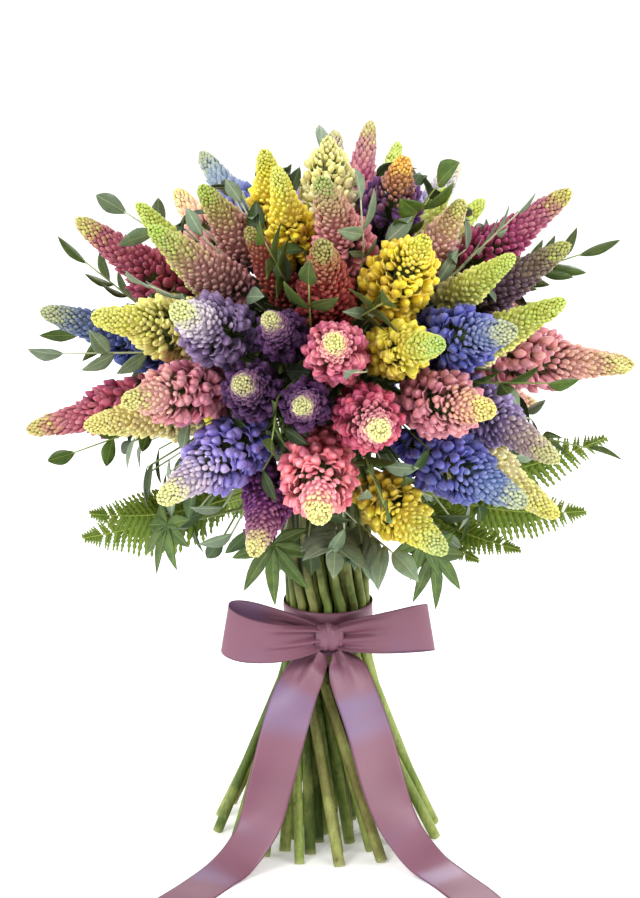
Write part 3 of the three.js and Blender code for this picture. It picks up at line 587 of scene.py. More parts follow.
ROD = rod_model(9, 24)
CORE = rod_model(8, 7)
CORE.part[:] = 0.35           # a part at which the core takes some of the petals' painted shade, in the hollows between closed florets
STALK = rod_model(5, 10)
THIN_STALK = rod_model(4, 3)
WINGS, BANNER = wings_model(), banner_model()
BLOOM = calyx_model().joined(WINGS).joined(BANNER)
CLOSED, BUD = closed_model(), bud_model()
OLIVE_LEAF, LANCE_LEAF = leaf_model(OLIVE), leaf_model(LANCE)
SMALL_OLIVE, SMALL_LANCE = leaf_model(OLIVE, 6, 2), leaf_model(LANCE, 6, 2)
PINNA = pinna_model()


# ------------------------------------------------------------------ materials
class Nodes:
    """A material's nodes, added one after another."""

    def __init__(self, name):
        self.material = bpy.data.materials.new(name)
        self.material.use_nodes = True
        self.tree = self.material.node_tree
        self.shader = self.tree.nodes["Principled BSDF"]

    def add(self, kind, inputs=(), **settings):
        node = self.tree.nodes.new(kind)
        for key, value in settings.items():
            setattr(node, key, value)
        for key, value in dict(inputs).items():
            self.feed(node.inputs[key], value)
        return node

    def feed(self, socket, value):
        if isinstance(value, bpy.types.NodeSocket):
            self.tree.links.new(value, socket)
        else:
            socket.default_value = value

    def tones(self):
        """The piece's own attribute, apart: how far along, part, tone of the copy, and flag."""
        attribute = self.add("ShaderNodeAttribute", attribute_name="tone")
        parts = self.add("ShaderNodeSeparateColor", {"Color": attribute.outputs["Color"]})
        return (*(parts.outputs[c] for c in ("Red", "Green", "Blue")), attribute.outputs["Alpha"])

    def noise(self, scale, detail=3.0, roughness=0.55):
        spot = self.add("ShaderNodeTexCoord").outputs["Object"]
        return self.add("ShaderNodeTexNoise", {"Vector": spot, "Scale": scale, "Detail": detail,
                                               "Roughness": roughness}).outputs["Fac"]

    def streaked(self, vector, stretch, scale, detail):
        """Noise drawn out along the directions in which the stretch is small."""
        laid = self.add("ShaderNodeMapping", {"Vector": vector, "Scale": stretch}).outputs["Vector"]
        return self.add("ShaderNodeTexNoise", {"Vector": laid, "Scale": scale,
                                               "Detail": detail}).outputs["Fac"]

    def ramp(self, fac, stops, mode="EASE"):
        ramp = self.add("ShaderNodeValToRGB", {"Fac": fac})
        ramp.color_ramp.interpolation = mode
        for i, (at, colour) in enumerate(stops):
            stop = ramp.color_ramp.elements[i] if i < 2 else ramp.color_ramp.elements.new(at)
            stop.position = at
            stop.color = colour
        return ramp.outputs["Color"]

    def math(self, operation, *values, clamp=False):
        node = self.add("ShaderNodeMath", operation=operation, use_clamp=clamp)
        for socket, value in zip(node.inputs, values):
            self.feed(socket, value)
        return node.outputs[0]

    def scaled(self, value, low, high, start=0.0, end=1.0):
        return self.add("ShaderNodeMapRange", {"Value": value, "From Min": start, "From Max": end,
                                               "To Min": low, "To Max": high}).outputs[0]

    def mixed(self, fac, a, b, blend="MIX"):
        node = self.add("ShaderNodeMix", data_type="RGBA", blend_type=blend)
        for socket, value in ((node.inputs[0], fac), (node.inputs[6], a), (node.inputs[7], b)):
            self.feed(socket, value)
        return node.outputs[2]

    def tuned(self, colour, hue=0.5, saturation=1.0, value=1.0):
        return self.add("ShaderNodeHueSaturation", {"Color": colour, "Hue": hue, "Saturation": saturation,
                                                    "Value": value}).outputs["Color"]

    def bumped(self, height, strength, distance):
        bump = self.add("ShaderNodeBump", {"Height": height, "Strength": strength, "Distance": distance})
        self.feed(self.shader.inputs["Normal"], bump.outputs["Normal"])

    def surface(self, **values):
        for key, value in values.items():
            self.feed(self.shader.inputs[key.replace("_", " ")], value)
        return self.material


PETAL_STOPS = (0.0, 0.52, 0.78, 0.97)         # where along a spike each colour of its palette stands


def petals(name, palette):
    n = Nodes(name)
    along, part, tone, green = n.tones()
    drift = n.math("ADD", along, n.scaled(tone, -0.07, 0.07), clamp=True)
    colour = n.ramp(drift, list(zip(PETAL_STOPS, (linear(c) for c in palette))))
    mottle = n.noise(220, 2)
    colour = n.tuned(colour, n.scaled(tone, 0.488, 0.512), n.scaled(mottle, 1.04, 0.84, 0.3, 0.7),
                     n.math("MULTIPLY", n.scaled(tone, 0.82, 1.16), n.scaled(mottle, 0.94, 1.08, 0.3, 0.7)))
    # Painted shade down where a petal leaves the spike, deep among the florets; paler at its lip, the petal's
    # own second tone
    colour = n.mixed(n.scaled(part, 0.65, 0.0, 0.0, 0.5), colour, n.tuned(colour, saturation=1.0, value=0.36))
    colour = n.mixed(n.scaled(part, 0.0, 0.3, 0.5, 1.0), colour, n.tuned(colour, saturation=0.72, value=1.25))
    stem = n.ramp(tone, [(0.0, linear("5f7437")), (1.0, linear("8d9a55"))])
    colour = n.mixed(green, colour, stem)
    streaks = n.noise(900, 3, roughness=0.7)
    n.bumped(n.math("ADD", streaks, n.scaled(mottle, 0, 0.5)), 0.35, 0.0004)
    return n.surface(Base_Color=colour, Roughness=n.scaled(streaks, 0.46, 0.66, 0.3, 0.7),
                     Subsurface_Weight=0.12, Subsurface_Radius=(0.0016, 0.0012, 0.0009), Subsurface_Scale=1.0,
                     Specular_IOR_Level=0.35, Sheen_Weight=0.12, Sheen_Roughness=0.5)


SIDE_VEINS, VEIN_SLANT = 11.0, 2.4


def foliage(name, face, rib, edge, gloss, down=0.0):
    """A leaf's face, with its midrib and side veins drawn from the blade's own attribute. The gloss is its
    roughness, and the down the strength of its soft bloom."""
    n = Nodes(name)
    along, across, tone, stalk = n.tones()
    wide = n.math("ABSOLUTE", across)
    mottle = n.noise(130, 4)
    colour = n.mixed(n.scaled(mottle, 0, 1, 0.35, 0.65), linear(face), linear(edge))
    colour = n.tuned(colour, n.scaled(tone, 0.49, 0.515), 1.0, n.scaled(tone, 0.72, 1.25))
    slope = n.math("SUBTRACT", n.math("MULTIPLY", along, SIDE_VEINS), n.math("MULTIPLY", wide, VEIN_SLANT))
    veins = n.math("SINE", n.math("MULTIPLY", slope, 6.283))
    veins = n.math("POWER", n.scaled(veins, 0, 1, -1, 1), 6.0)
    colour = n.mixed(n.scaled(veins, 0, 0.1), colour, linear(rib))
    midrib = n.scaled(wide, 1.0, 0.0, 0.02, 0.09)
    colour = n.mixed(n.math("MULTIPLY", midrib, 0.5), colour, linear(rib))
    colour = n.mixed(stalk, colour, linear(rib))
    sunk = n.math("MULTIPLY", veins, -0.4)
    n.bumped(n.math("ADD", sunk, n.math("ADD", midrib, n.noise(700, 2))), 0.3, 0.0005)
    return n.surface(Base_Color=colour, Roughness=n.scaled(mottle, gloss - 0.06, gloss + 0.12),
                     Subsurface_Weight=0.06, Subsurface_Radius=(0.001, 0.0014, 0.0005),
                     Specular_IOR_Level=0.4, Sheen_Weight=down, Sheen_Roughness=0.5)


def green_stems():
    n = Nodes("stem_green")
    along, _, tone, _ = n.tones()
    grain = n.streaked(n.add("ShaderNodeTexCoord").outputs["Object"], (1.0, 1.0, 0.12), 520, 4)
    blotch = n.noise(38, 3)
    colour = n.ramp(tone, [(0.0, linear("52652c")), (0.35, linear("7a8d42")), (0.7, linear("9cab5e")),
                           (1.0, linear("76703f"))])
    # Painted shade: the stems darken above the tie, inside the head, where the head shades them
    colour = n.tuned(colour, value=n.scaled(along, 0.9, 0.3, 0.5, 0.62))
    colour = n.mixed(n.scaled(blotch, 0, 0.75, 0.45, 0.7), colour, linear("a5ac66"))
    colour = n.tuned(colour, 0.5, 1.0, n.scaled(grain, 0.8, 1.15, 0.3, 0.7))
    # The cut end at the foot shows pale, and a scar or two shows brown
    cut = n.scaled(along, 1.0, 0.0, 0.0, 0.01)
    colour = n.mixed(n.math("MULTIPLY", cut, 0.7), colour, linear("b9bf86"))
    scars = n.scaled(n.noise(95, 1), 0.0, 0.7, 0.7, 0.76)
    colour = n.mixed(scars, colour, linear("5a4a2e"))
    n.bumped(grain, 0.4, 0.0006)
    return n.surface(Base_Color=colour, Roughness=n.scaled(grain, 0.42, 0.6), Subsurface_Weight=0.05,
                     Subsurface_Radius=(0.002, 0.002, 0.001), Specular_IOR_Level=0.4)


WARP_THREADS, WEFT_THREADS = 2600, 1100         # to the metre
SELVEDGE_FROM, SELVEDGE_FULL = 0.0178, 0.0184   # metres out from the ribbon's middle line


def satin():
    """Satin ribbon: a fine weave along the cloth's own UV, a sheen, and a lilac cast that drifts along it, a
    painted sheen over the ribbon's own mauve.
    """
    n = Nodes("satin_ribbon")
    cloth = n.add("ShaderNodeUVMap", uv_map="cloth").outputs["UV"]
    length, width, _ = n.add("ShaderNodeSeparateXYZ", {"Vector": cloth}).outputs
    # The lilac stop is painted sheen, in patches that drift along the ribbon; the mauve stops are the
    # ribbon's own colour
    drift = n.streaked(cloth, (9.0, 3.0, 1.0), 1.6, 1.5)
    colour = n.ramp(drift, [(0.3, linear("744a5a")), (0.5, linear("7f5666")), (0.68, linear("7d6584"))])
    warp = n.math("SINE", n.math("MULTIPLY", width, 2 * math.pi * WARP_THREADS))
    weft = n.math("SINE", n.math("MULTIPLY", length, 2 * math.pi * WEFT_THREADS))
    weave = n.math("ADD", n.math("MULTIPLY", warp, 0.6), n.math("MULTIPLY", weft, 0.4))
    # The woven selvedge is a shade darker and raised
    rim = n.scaled(n.math("ABSOLUTE", width), 0.0, 1.0, SELVEDGE_FROM, SELVEDGE_FULL)
    colour = n.mixed(n.math("MULTIPLY", rim, 0.45), colour, linear("5c3c4a"))
    creases = n.streaked(cloth, (1.0, 0.25, 1.0), 60, 2)
    fine = n.math("MULTIPLY", weave, 0.08)
    n.bumped(n.math("ADD", fine, n.math("ADD", n.math("MULTIPLY", rim, 0.5), creases)), 0.18, 0.0006)
    return n.surface(Base_Color=colour, Roughness=n.scaled(creases, 0.32, 0.44), Specular_IOR_Level=0.5,
                     Anisotropic=0.5, Sheen_Weight=0.12, Sheen_Roughness=0.35, Sheen_Tint=linear("dccbdc"))


def paper_floor():
    n = Nodes("pale_paper")
    fibre = n.noise(60, 3)
    colour = n.mixed(fibre, linear("fbfbfb"), linear("f6f6f5"))
    n.bumped(fibre, 0.05, 0.0005)
    return n.surface(Base_Color=colour, Roughness=0.9, Specular_IOR_Level=0.1, Emission_Color=(1, 1, 1, 1),
                     Emission_Strength=0.16)


# ------------------------------------------------------------------ flower spikes
GOLDEN = math.radians(137.508)
BLOOM_KEY, CLOSED_KEY, BUD_KEY = "bloom", "closed", "bud"
OPEN_UNTIL = 0.62             # florets below this share of a spike in full flower are open
CLOSED_FOR = 0.24             # they are closed scales for this much more of it, and buds beyond that
CLOSED_UNTIL = 0.8            # or beyond this share, if that is farther
BARE = 0.1                    # the foot of a spike, hidden in the head, bears no florets
FLORET_SIZE = {               # a floret's breadth in mm along the spike
    BLOOM_KEY: [(0, 13.5), (0.35, 12.5), (0.55, 11), (0.7, 9), (1, 6)],
    CLOSED_KEY: [(0, 5.8), (0.4, 5.2), (0.6, 4.6), (0.8, 3.8), (1, 3.0)],
    BUD_KEY: [(0.6, 3.6), (0.8, 3.3), (0.9, 2.9), (1, 2.3)],
}
FLORET_LEAN = {               # how far it leans out from the spike's own line, in degrees
    BLOOM_KEY: [(0, 86), (0.3, 66), (0.5, 54), (0.7, 42), (1, 26)],
    CLOSED_KEY: [(0, 54), (0.4, 42), (0.6, 34), (0.8, 27), (1, 16)],
    BUD_KEY: [(0.6, 26), (0.85, 20), (0.95, 10), (1, 0)],
}
PACKING = {BLOOM_KEY: 0.92, CLOSED_KEY: 1.55, BUD_KEY: 1.15}     # surface for each, in squares of its breadth
MODEL_WIDTH = {BLOOM_KEY: 9.0, CLOSED_KEY: 3.7, BUD_KEY: 1.8}    # breadth of each model as it is made
MODEL_REACH = {BLOOM_KEY: 12.8, CLOSED_KEY: 9.2, BUD_KEY: 2.6}   # and how far it reaches
LET_IN = {BLOOM_KEY: 0.98, CLOSED_KEY: 0.92, BUD_KEY: 0.8}       # share of its reach set below the surface
JITTER = {BLOOM_KEY: (0.2, 10), CLOSED_KEY: (0.06, 5), BUD_KEY: (0.05, 4)}   # of the turn and of the lean
FULL = 0.97                   # share of a spike past which nothing opens


def half_girth(s, opened):
    """Half girth along a spike as a share of the widest, rounded off at the tip."""
    s = np.asarray(s, float)
    closing = np.clip((s - opened + 0.06) / 0.12, 0, 1)
    closing = closing * closing * (3 - 2 * closing)
    tip = np.clip((s - 0.93) / 0.07, 0, 1)
    full = share(OPEN_TAPER, s) * (1 - closing) + share(SLIM_TAPER, s) * closing
    return full * np.sqrt(np.maximum(1 - tip ** 2, 0.0)) + 0.02


def across(way, reference=(0.02, 0.03, 1)):
    """Two directions across a way, the second of them as near the reference as it can be."""
    side = unit(np.cross(way, reference))
    return side, np.cross(side, way)


def dress_spike(heap, base, tip, girth, in_flower):
    """Lays florets round a spike from its foot to its tip, each a golden angle on from the last."""
    length = np.linalg.norm(tip - base)
    way = (tip - base) / length
    side, up = across(way)
    turn = RANDOM.uniform(0, 2 * math.pi)
    shade = RANDOM.uniform(0.35, 0.65)
    opened = min(FULL, OPEN_UNTIL * in_flower * RANDOM.uniform(0.94, 1.06))
    closed = max(CLOSED_UNTIL, min(FULL, opened + CLOSED_FOR))
    rows = {BLOOM_KEY: [], CLOSED_KEY: [], BUD_KEY: []}
    s, count = BARE, 0
    while s < 1:
        kind = BLOOM_KEY if s < opened else CLOSED_KEY if s < closed else BUD_KEY
        size = float(share(FLORET_SIZE[kind], s)) * (0.8 + 0.0045 * girth)
        radius = max(girth / 2 * float(half_girth(s, opened)), 0.5 * size)
        rows[kind].append((s, size, radius, turn + count * GOLDEN))
        s += size ** 2 * PACKING[kind] / (2 * math.pi * radius * length)
        count += 1
    for kind, model in ((BLOOM_KEY, BLOOM), (CLOSED_KEY, CLOSED), (BUD_KEY, BUD)):
        florets = np.array(rows[kind])
        if not len(florets):
            continue
        s, size, radius, angle = florets.T
        turned, leant = JITTER[kind]
        angle = angle + RANDOM.normal(0, turned, len(s))
        lean = np.radians(share(FLORET_LEAN[kind], s) + RANDOM.normal(0, leant, len(s)))
        radius = radius * RANDOM.uniform(0.9, 1.05, len(s))
        out = np.cos(angle)[:, None] * side + np.sin(angle)[:, None] * up
        aim = np.cos(lean)[:, None] * way + np.sin(lean)[:, None] * out
        high = np.sin(lean)[:, None] * way - np.cos(lean)[:, None] * out
        roll = RANDOM.normal(0, turned, len(s))
        wide = np.cross(high, aim) * np.cos(roll)[:, None] + high * np.sin(roll)[:, None]
        high = np.cross(aim, wide)
        scale = size / MODEL_WIDTH[kind] * RANDOM.uniform(0.86, 1.12, len(s))
        turns = np.stack([wide, high, aim], axis=2) * scale[:, None, None]
        tips = base + way * (s * length)[:, None] + out * radius[:, None]
        places = tips - aim * (MODEL_REACH[kind] * scale * LET_IN[kind])[:, None]
        heap.add(model, turns, places, s, np.clip(RANDOM.normal(shade, 0.2, len(s)), 0, 1))
    # The stalk inside: thin among open florets, and nearly filling the spike where they are closed
    stations = np.linspace(0, FULL, 8)
    within = np.where(stations < opened, 0.2, 0.8)
    core = girth / 2 * half_girth(stations, opened) * within
    route = base + way * (stations * length)[:, None]
    lay(heap, CORE, bent(CORE, route, core, carried_frames(route, side)), CORE.points[:, 2] * FULL, 0.2,
        np.where(CORE.points[:, 2] < opened, 1.0, 0.0))


# ------------------------------------------------------------------ leaves, sprigs and fronds
LEAF_BELLY = 0.42             # where a leaf is widest
LEAF_ANGLE = math.radians(42)           # between a leaf and its stem
LEAF_CLEAR = 1.0
LEAF_CURL = 0.12
SPRIG_START, SPRIG_END = 0.55, 0.95     # the stretch of a sprig that bears leaves
LAST_LEAF = 0.985
PAIR_GAP = 0.03               # how far below its partner the other leaf of a pair leaves the sprig
LOW_PAIR = [(0.42, False, 1), (0.4, False, -1)]
SPRIG_CLEAR, SPRIG_END_CLEAR = 2.2, 6
BEND_ROUNDS = 80
BEND_STEP = 3                 # the most that a point moves in one round
BEND_EASE = 0.12              # how much a point is drawn back toward its neighbours' line in one round

# Sprigs inside the head: lupin, tip heading, tip rise, tip reach, leaves, leaf length, leaf half width
SPRIGS = [
    ("lime_a", -62, 36, 214, 3, 34, 7), ("rose_a", -84, 6, 200, 4, 30, 5), ("blue_d", -88, 22, 206, 4, 30, 5),
    ("mauve", -40, 22, 218, 3, 30, 8), ("rust_a", -14, 32, 222, 3, 34, 8), ("plum", -4, 24, 226, 3, 32, 7),
    ("pink_a", 8, 42, 218, 3, 32, 6), ("rust_b", 10, 20, 228, 3, 34, 8), ("violet", 30, 44, 222, 3, 32, 10),
    ("pink_b", 52, 36, 220, 4, 26, 4), ("lemon_a", 92, 22, 216, 5, 34, 5), ("dusty_a", 44, 3, 232, 3, 28, 7),
    ("yellow_d", 4, 8, 234, 2, 24, 6), ("rosette", -10, -4, 232, 3, 26, 7),
    ("crimson_a", 10, -16, 234, 3, 28, 8), ("lemon_b", -60, 6, 232, 3, 28, 7),
    ("cream_c", -62, -14, 226, 3, 26, 6), ("cream_b", 66, -14, 226, 3, 28, 6),
    ("back_rose", 168, -8, 226, 2, 34, 8), ("back_blue", 142, 6, 226, 2, 34, 8),
    ("back_yellow", -146, -12, 226, 2, 34, 8), ("back_violet", -178, 44, 214, 2, 34, 8),
]

# Fronds from one stem at the collar: heading, then (middle, tip, half width), as (heading, rise, reach)
FERNS = {
    "fern_left": (-84, [((-94, -48, 186), (-90, -37, 248), 22), ((-74, -46, 178), (-72, -30, 226), 18)]),
    "fern_right": (98, [((88, -46, 184), (88, -31, 242), 20), ((100, -38, 180), (94, -17, 236), 20)]),
    "fern_low_right": (68, [((68, -56, 160), (62, -39, 218), 14), ((60, -60, 152), (54, -45, 204), 12)]),
    "fern_back": (-165, [((178, -50, 180), (176, -40, 248), 17), ((-146, -52, 178), (-140, -42, 240), 16)]),
}
# Which way the upper face of a frond looks, in front of the sides and behind them
FROND_FACES = {"front": (0, -1, 0.45), "back": (0, 1, 0.45)}
FROND_SIDES = 120             # the heading beyond which a frond counts as behind

# Leafy stems from the collar: heading, then (middle, tip, leaves, leaf length, leaf half width)
GREENS = {
    "leaves_front": (8, [((16, -62, 136), (20, -41, 190), 5, 40, 8),
                         ((-6, -62, 136), (2, -43, 182), 5, 36, 7)]),
    "leaves_back": (140, [((154, -58, 160), (154, -44, 214), 6, 46, 8),
                          ((128, -56, 160), (132, -44, 214), 5, 42, 7)]),
}

# Palmate leaves on stalks from the collar: heading, then (middle, hub, leaflets, length, half width)
PALMS = {
    "leaves_low_left": (-42, [((-34, -64, 134), (-21, -47, 172), 7, 46, 6),
                              ((-56, -58, 145), (-56, -38, 190), 7, 40, 6)]),
    "leaves_low_right": (42, [((46, -64, 140), (38, -46, 186), 7, 44, 6),
                              ((32, -54, 140), (30, -40, 180), 6, 34, 5)]),
}
PALM_FAN = math.radians(230)  # from the first leaflet of a palmate leaf to its last
FROND_TAPER = [(0, 0.55), (0.15, 0.92), (0.35, 1), (0.6, 0.8), (0.85, 0.4), (1, 0.12)]
PINNA_CROWDING = 1.35         # over 1, leaflets stand closer toward the frond's tip
PINNAE = 26                   # pairs of leaflets on a frond, past the first
PINNA_REACH = 1.4             # the longest leaflet, in half widths of the frond
PINNA_LEAN = 0.42             # how far a leaflet leans toward the frond's tip, in radians
PINNA_WIDTH, PINNA_NARROWEST = 3.6, 2.2
FROND_START, FROND_SPAN = 0.2, 0.79     # the stretch of a frond that bears leaflets


def bend_clear(row, wanted):
    """Bends a row of points clear of the spikes, as the solids' stalks are."""
    points = np.array(row, float)
    for _ in range(BEND_ROUNDS):
        for i in range(1, len(points)):
            clear, out = nearest_spike(points[i])
            if clear < wanted[i]:
                points[i] += out * min(BEND_STEP, (wanted[i] - clear) * 0.5)
        for i in range(1, len(points) - 1):
            points[i] += ((points[i - 1] + points[i + 1]) / 2 - points[i]) * BEND_EASE
    return points


def lay_leaf(heap, model, start, way, facing, length, half, tone, curl=LEAF_CURL):
    """A leaf that sets out from start along way, its face toward facing, and curls away from it."""
    s = np.linspace(0, 1, 8)[:, None]
    side = unit(np.cross(way, facing))
    sway = RANDOM.normal(0, 0.03)
    route = start + way * length * s - facing * curl * length * s ** 2 + side * sway * length * s ** 2
    points = bent(model, route + HEAD, half, facing_frames(route, facing))
    lay(heap, model, points, model.points[:, 2], tone)


STALK_SIDE = (1, 0.2, 0.1)    # the side of a stalk from which its frames are carried
THIN_STALK_WIDTH = 0.8


def lay_stalk(heap, route, width, model=STALK):
    points = bent(model, route + HEAD, width, carried_frames(route, STALK_SIDE))
    lay(heap, model, points, 0.5, 0.5, 1.0)


def lay_thin_stalk(heap, outward, reaches):
    row = smooth_row([outward * reach for reach in reaches], 11)
    lay_stalk(heap, row, THIN_STALK_WIDTH, THIN_STALK)


def lay_sprig(heap, points, count, length, half, model, thick=1.0, shown=None):
    """A leafy stem through the given points, bent clear of the spikes, with pairs of leaves along it and
    one at its end. A leaf that would run into a spike is made smaller, or left out."""
    steps = 5
    wanted = [SPRIG_CLEAR if i < steps * 0.6 else SPRIG_END_CLEAR for i in range(steps + 1)]
    fine = smooth_row(bend_clear(bezier(points, steps + 1), wanted), 41)
    lay_stalk(heap, fine, np.linspace(1.25, 0.55, 41) * thick)
    ways = unit(np.gradient(fine, axis=0))
    leaves = [(SPRIG_START + (SPRIG_END - SPRIG_START) * i / max(1, count - 1), False, 1 if i % 2 else -1)
              for i in range(count - 1)]
    leaves.append((LAST_LEAF, True, 1 if (count - 1) % 2 else -1))
    leaves += [(s - PAIR_GAP, False, -sign) for s, last, sign in leaves if not last] + LOW_PAIR
    for s, last, sign in leaves:
        at = s * 40
        low = min(int(at), 39)
        start = fine[low] + (fine[low + 1] - fine[low]) * (at - low)
        way = ways[low]
        facing = across(way, nearest_spike(start)[1] if shown is None else shown)[1]
        sideways = across(way, facing)[0] * (0 if last else sign)
        out = unit(way * math.cos(LEAF_ANGLE) + sideways * math.sin(LEAF_ANGLE))
        for scale in (1, 0.8, 0.6):
            mid = (start + out * length * scale * LEAF_BELLY
                   - facing * LEAF_CURL * length * scale * LEAF_BELLY ** 2)
            end = start + out * length * scale - facing * LEAF_CURL * length * scale
            if nearest_spike(mid)[0] < half * scale + LEAF_CLEAR or nearest_spike(end)[0] < LEAF_CLEAR:
                continue
            lay_leaf(heap, model, start, out, facing, length * scale, half * scale, RANDOM.uniform(0.1, 0.9))
            break


def place(spot):
    heading, rise, reach = spot
    return direction(heading, rise) * reach


def collar(heading, middles):
    """Where a stem of greenery ends below the head, and the way in which its fronds or leaves go on."""
    end = direction(heading, 0) * COLLAR_RADIUS + np.array([0, 0, -COLLAR_DROP])
    way = unit(sum(unit(place(middle) - end) for middle in middles))
    return end, way


def lay_frond(heap, root, middle, tip, half):
    """A fern frond: a stalk with pairs of toothed leaflets that shorten toward its tip."""
    shown = np.array(FROND_FACES["front" if abs(tip[0]) < FROND_SIDES else "back"])
    route = bezier([root, place(middle), place(tip)], 61)
    lay_stalk(heap, route, np.linspace(1.3, 0.35, 61))
    ways = unit(np.gradient(route, axis=0))
    for k in range(PINNAE + 1):
        s = FROND_START + FROND_SPAN * (1 - (1 - k / PINNAE) ** PINNA_CROWDING)
        i = int(s * 60)
        way = ways[i]
        side, up = across(way, shown)
        reach = half * float(share(FROND_TAPER, (s - FROND_START) / (1 - FROND_START))) * PINNA_REACH
        for sign in (-1, 1):
            out = unit(side * sign * math.cos(PINNA_LEAN) + way * math.sin(PINNA_LEAN) - up * 0.1)
            lay_leaf(heap, PINNA, route[i] + way * (0.8 * sign), out, up, reach * RANDOM.uniform(0.94, 1.06),
                     max(PINNA_NARROWEST, PINNA_WIDTH * reach / half), RANDOM.uniform(0.3, 0.7), curl=0.16)


def lay_palm(heap, root, middle, hub, count, length, half):
    """A palmate leaf: leaflets fanned round the end of a stalk and hanging, its face turned outward."""
    points = bend_clear(bezier([root, place(middle), place(hub)], 5), [2, 2, 3, 5, 6])
    fine = smooth_row(points, 31)
    lay_stalk(heap, fine, np.linspace(1.5, 1.0, 31))
    way = unit(unit(points[-1] - points[-2]) * 0.35 + np.array([0, 0, -1.0]))
    side, facing = across(way, direction(hub[0], 0))
    for i in range(count):
        a = PALM_FAN * (i / (count - 1) - 0.5)
        out = way * math.cos(a) + side * math.sin(a)
        lay_leaf(heap, LANCE_LEAF, points[-1] - way * 1.2, out, facing, length * (0.75 + 0.25 * math.cos(a)),
                 half, RANDOM.uniform(0.2, 0.8))


FILLER_SPOTS = 420            # directions tried for a leaf between the spikes
FILLER_REACHES = (150, 138, 126, 114)
LOW_FILLER_REACHES = (168, 156, 144, 132)
LOW_RISE = -12                # below this rise the low reaches are tried
FILLER_ROOT = 72
FILLER_CLEAR = 1.5
HEART_LEAVES = 170            # broad leaves that close the middle of the head, behind the florets
HEART_STALK = (66, 80, 90)    # how far out their stalks run, to the leaf


def spread_out(count, lowest, highest):
    """Directions spread evenly over the head, each a golden angle on from the last."""
    for k in range(count):
        rise = math.degrees(math.asin(1 - 2 * (k + 0.5) / count))
        if lowest <= rise <= highest:
            yield k, rise, direction(math.degrees(k * GOLDEN) % 360, rise)


def lay_heart(heap):
    for _, _, outward in spread_out(HEART_LEAVES, -50, 90):
        side, up = across(outward)
        turn = RANDOM.uniform(0, 2 * math.pi)
        way = unit(outward * 0.25 + side * math.cos(turn) + up * math.sin(turn))
        lay_thin_stalk(heap, outward, HEART_STALK)
        lay_leaf(heap, SMALL_OLIVE, outward * HEART_STALK[-1], way, outward, RANDOM.uniform(28, 38),
                 RANDOM.uniform(9, 12), RANDOM.uniform(0.0, 0.4))


def lay_fillers(heaps):
    """Small leaves on stalks from the middle of the head, wherever the spikes leave room for one."""
    for k, rise, outward in spread_out(FILLER_SPOTS, -52, 70):
        length, half = RANDOM.uniform(24, 34), RANDOM.uniform(5, 7.5)
        for reach in (LOW_FILLER_REACHES if rise < LOW_RISE else FILLER_REACHES):
            start = outward * reach
            if nearest_spike(start)[0] < 2:
                continue
            side, up = across(outward)
            fits = []
            for turn in RANDOM.uniform(0, 2 * math.pi, 5):
                way = unit(outward * 0.75 + side * math.cos(turn) + up * math.sin(turn))
                clear = min(nearest_spike(start + way * length * s)[0] for s in (0.45, 0.75, 1))
                fits.append((clear, tuple(way)))
            clear, way = max(fits)
            if clear < FILLER_CLEAR:
                continue
            heap = heaps[k % len(heaps)]
            lay_thin_stalk(heap, outward, (FILLER_ROOT, (FILLER_ROOT + reach) / 2, reach))
            lay_leaf(heap, (SMALL_OLIVE, SMALL_LANCE)[k % 2], start, np.array(way), outward, length, half,
                     RANDOM.uniform(0.0, 0.8))
            break


# ------------------------------------------------------------------ dressing the flowers and the greenery
FOOT_RADIUS = 3.0             # of the stalk that carries a spike


def flowers():
    shades = {}
    for name, palette, slot, _ in LUPINS:
        if palette not in shades:
            shades[palette] = petals("petals_" + palette, PETALS[palette])
        heap = Heap()
        for i in spikes_of(name):
            dress_spike(heap, SPIKE_BASE[i] + HEAD, SPIKE_TIP[i] + HEAD, SPIKE_GIRTH[i],
                        IN_FLOWER.get(name, 1.0))
        root = stem_way(name) * (STEM_REACH + SEAM)
        for i in spikes_of(name):
            way = unit(SPIKE_TIP[i] - SPIKE_BASE[i])
            foot = bezier([root, root * 1.25, SPIKE_BASE[i] - way * 12, SPIKE_BASE[i] + way * 10], 11) + HEAD
            lay(heap, STALK, bent(STALK, foot, FOOT_RADIUS, carried_frames(foot, STALK_SIDE)), 0.0, 0.5, 1.0)
        heap.piece("florets_" + name, shades[palette], "petals_" + slot, "lupin_" + name)


